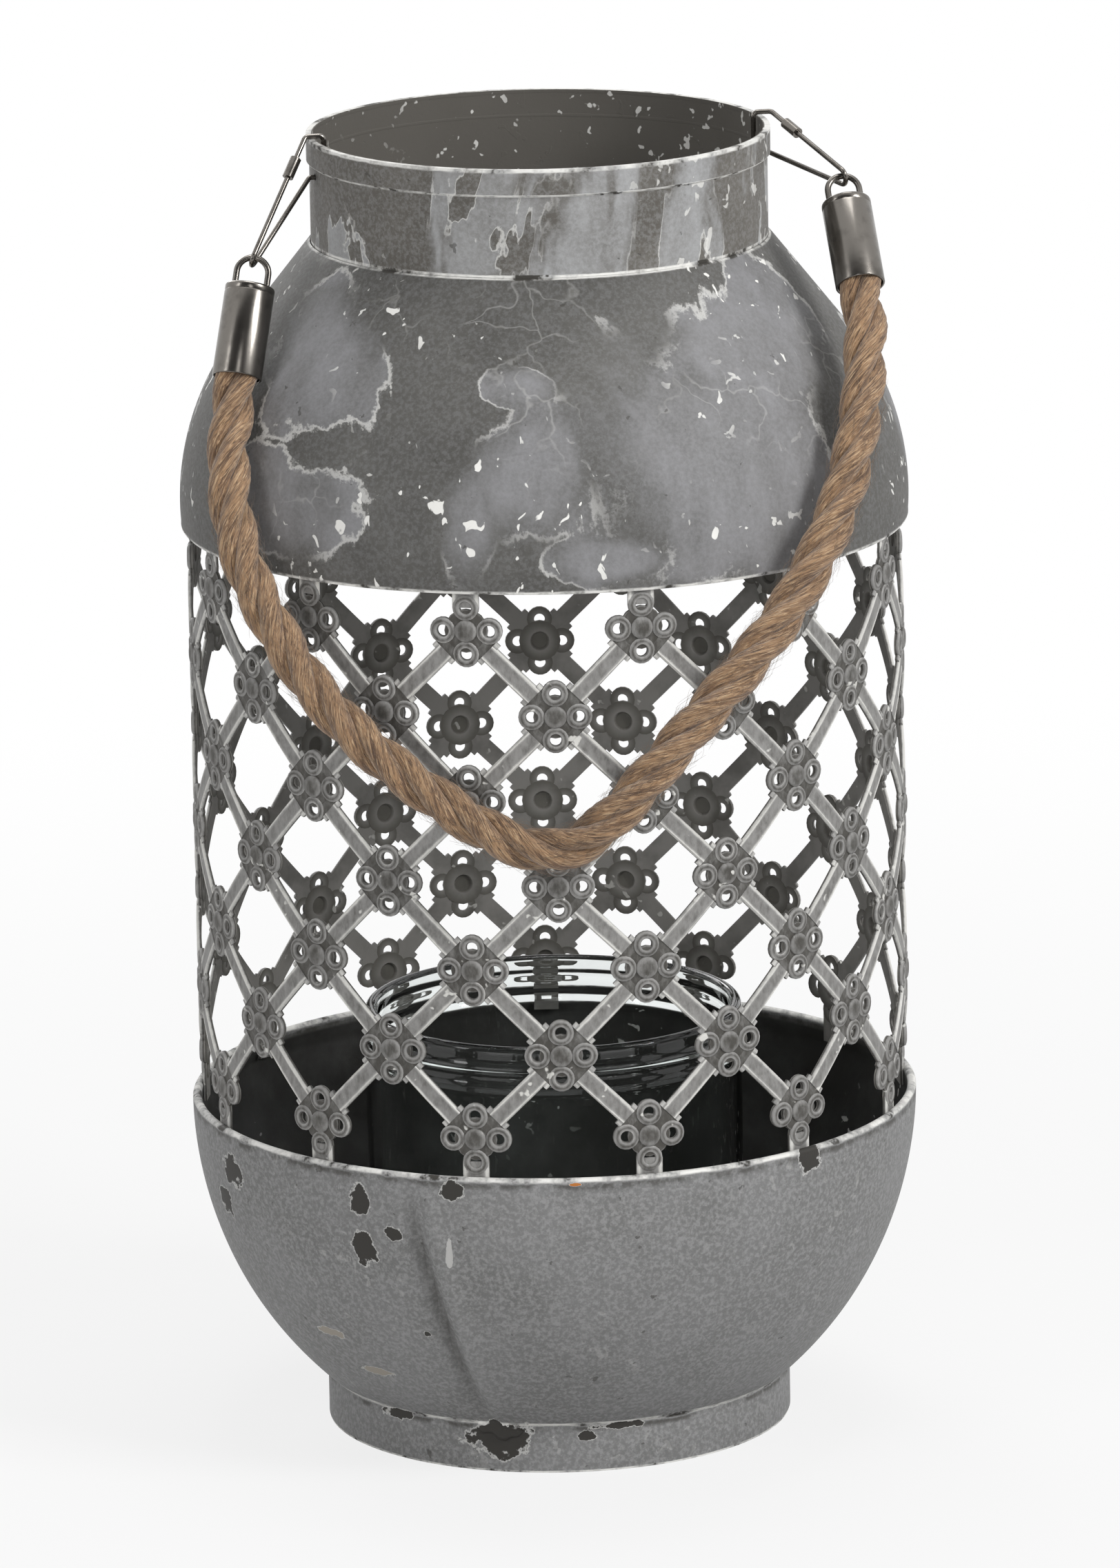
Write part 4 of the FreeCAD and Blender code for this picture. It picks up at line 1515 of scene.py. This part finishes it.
BOWL_PAINT = ZincPaint(
    "bowl_paint", "757575", "696968", "959595", "2c2b29",
    rims=((92.8, 1.0), (13.9, 0.8), (0.3, 0.5)), flecks=0.12, grain=0.6, grime_and_shadow=0.75,
    scars=(
        Scar((-88.0, -46.0, 82.5), (3.2, 6.0, 4.2)), Scar((-90.5, -38.0, 71.3), (2.4, 4.0, 4.4)),
        Scar((-53.0, -84.0, 84.4), (3.2, 4.0, 4.2)), Scar((-44.0, -88.5, 75.2), (2.3, 3.0, 2.2)),
        Scar((-52.0, -83.0, 69.8), (3.2, 4.0, 4.8)), Scar((-28.0, -95.5, 89.3), (3.6, 4.0, 2.8)),
        Scar((68.0, -73.0, 91.0), (3.8, 4.0, 3.6)), Scar((-36.0, -82.0, 45.0), (1.5, 2.0, 1.5)),
        Scar((-17.0, -62.0, 9.5), (10.5, 6.0, 5.0)), Scar((-44.0, -47.0, 12.6), (6.0, 6.0, 1.6)),
        Scar((7.0, -64.0, 10.4), (2.2, 3.0, 1.4)), Scar((16.0, -62.0, 12.7), (7.0, 4.0, 1.2)),
        Scar((60.0, 78.0, 84.0), (4.0, 5.0, 5.0)), Scar((-20.0, 92.0, 60.0), (3.0, 4.0, 5.0)),
        Scar((5.0, -100.0, 91.6), (1.9, 2.0, 0.5), "a8682f"),
        Scar((-62.0, -60.0, 40.0), (6.0, 6.0, 1.3), "8f897f"),
        Scar((-50.0, -62.0, 29.0), (7.0, 5.0, 1.2), "8d877d"),
        Scar((-29.0, -93.6, 72.0), (0.7, 3.0, 3.5), "a9a8a6"),
    ),
)
DOME_PAINT = ZincPaint(
    "dome_paint", "595855", "4a4946", "858587", "3a3835",
    rims=((253.4, 0.9), (331.3, 0.7)), flecks=1.0, cracks=0.15, grain=0.25,
    patches=(
        ((48.0, -80.0, 284.0), (34.0, 44.0, 44.0)), ((-59.0, -54.0, 309.0), (19.0, 28.0, 18.0)),
        ((66.0, -48.0, 312.0), (26.0, 34.0, 24.0)), ((-6.0, -92.0, 284.0), (15.0, 14.0, 16.0)),
        ((-67.0, -71.0, 270.0), (22.0, 28.0, 14.0)), ((-8.0, -84.0, 306.0), (9.0, 10.0, 5.0)),
        ((-21.0, -95.0, 273.0), (8.0, 12.0, 19.0)), ((20.0, -97.0, 262.0), (20.0, 10.0, 6.0)),
        ((94.0, 8.0, 282.0), (22.0, 24.0, 30.0)), ((48.0, 76.0, 292.0), (30.0, 34.0, 26.0)),
        ((-34.0, 84.0, 284.0), (24.0, 26.0, 34.0)), ((-90.0, 22.0, 276.0), (22.0, 26.0, 22.0)),
        ((-62.0, 40.0, 318.0), (14.0, 18.0, 9.0)),
    ),
)
NECK_PAINT = ZincPaint(
    "neck_paint", "66635e", "54514c", "a0a1a2", "5c5954",
    rims=((360.3, 0.9), (353.4, 0.5), (331.6, 0.6)), flakes=9.0, flecks=0.6, grain=0.25, inner_radius=61.4,
)


def main() -> None:
    """Builds the lantern's pieces in order."""
    logging.basicConfig(level=logging.INFO, format="%(name)s %(message)s")
    Studio().build()
    RopeHandle().build(Jute().make(), Nickel().make())
    BowlBase().build(BOWL_PAINT.make())
    Shoulder().build(DOME_PAINT.make(), NECK_PAINT.make())
    LatticeScreen().build(BrushedLattice().make())
    GlassJar().build(ClearGlass().make())


if __name__ == "__main__":
    main()
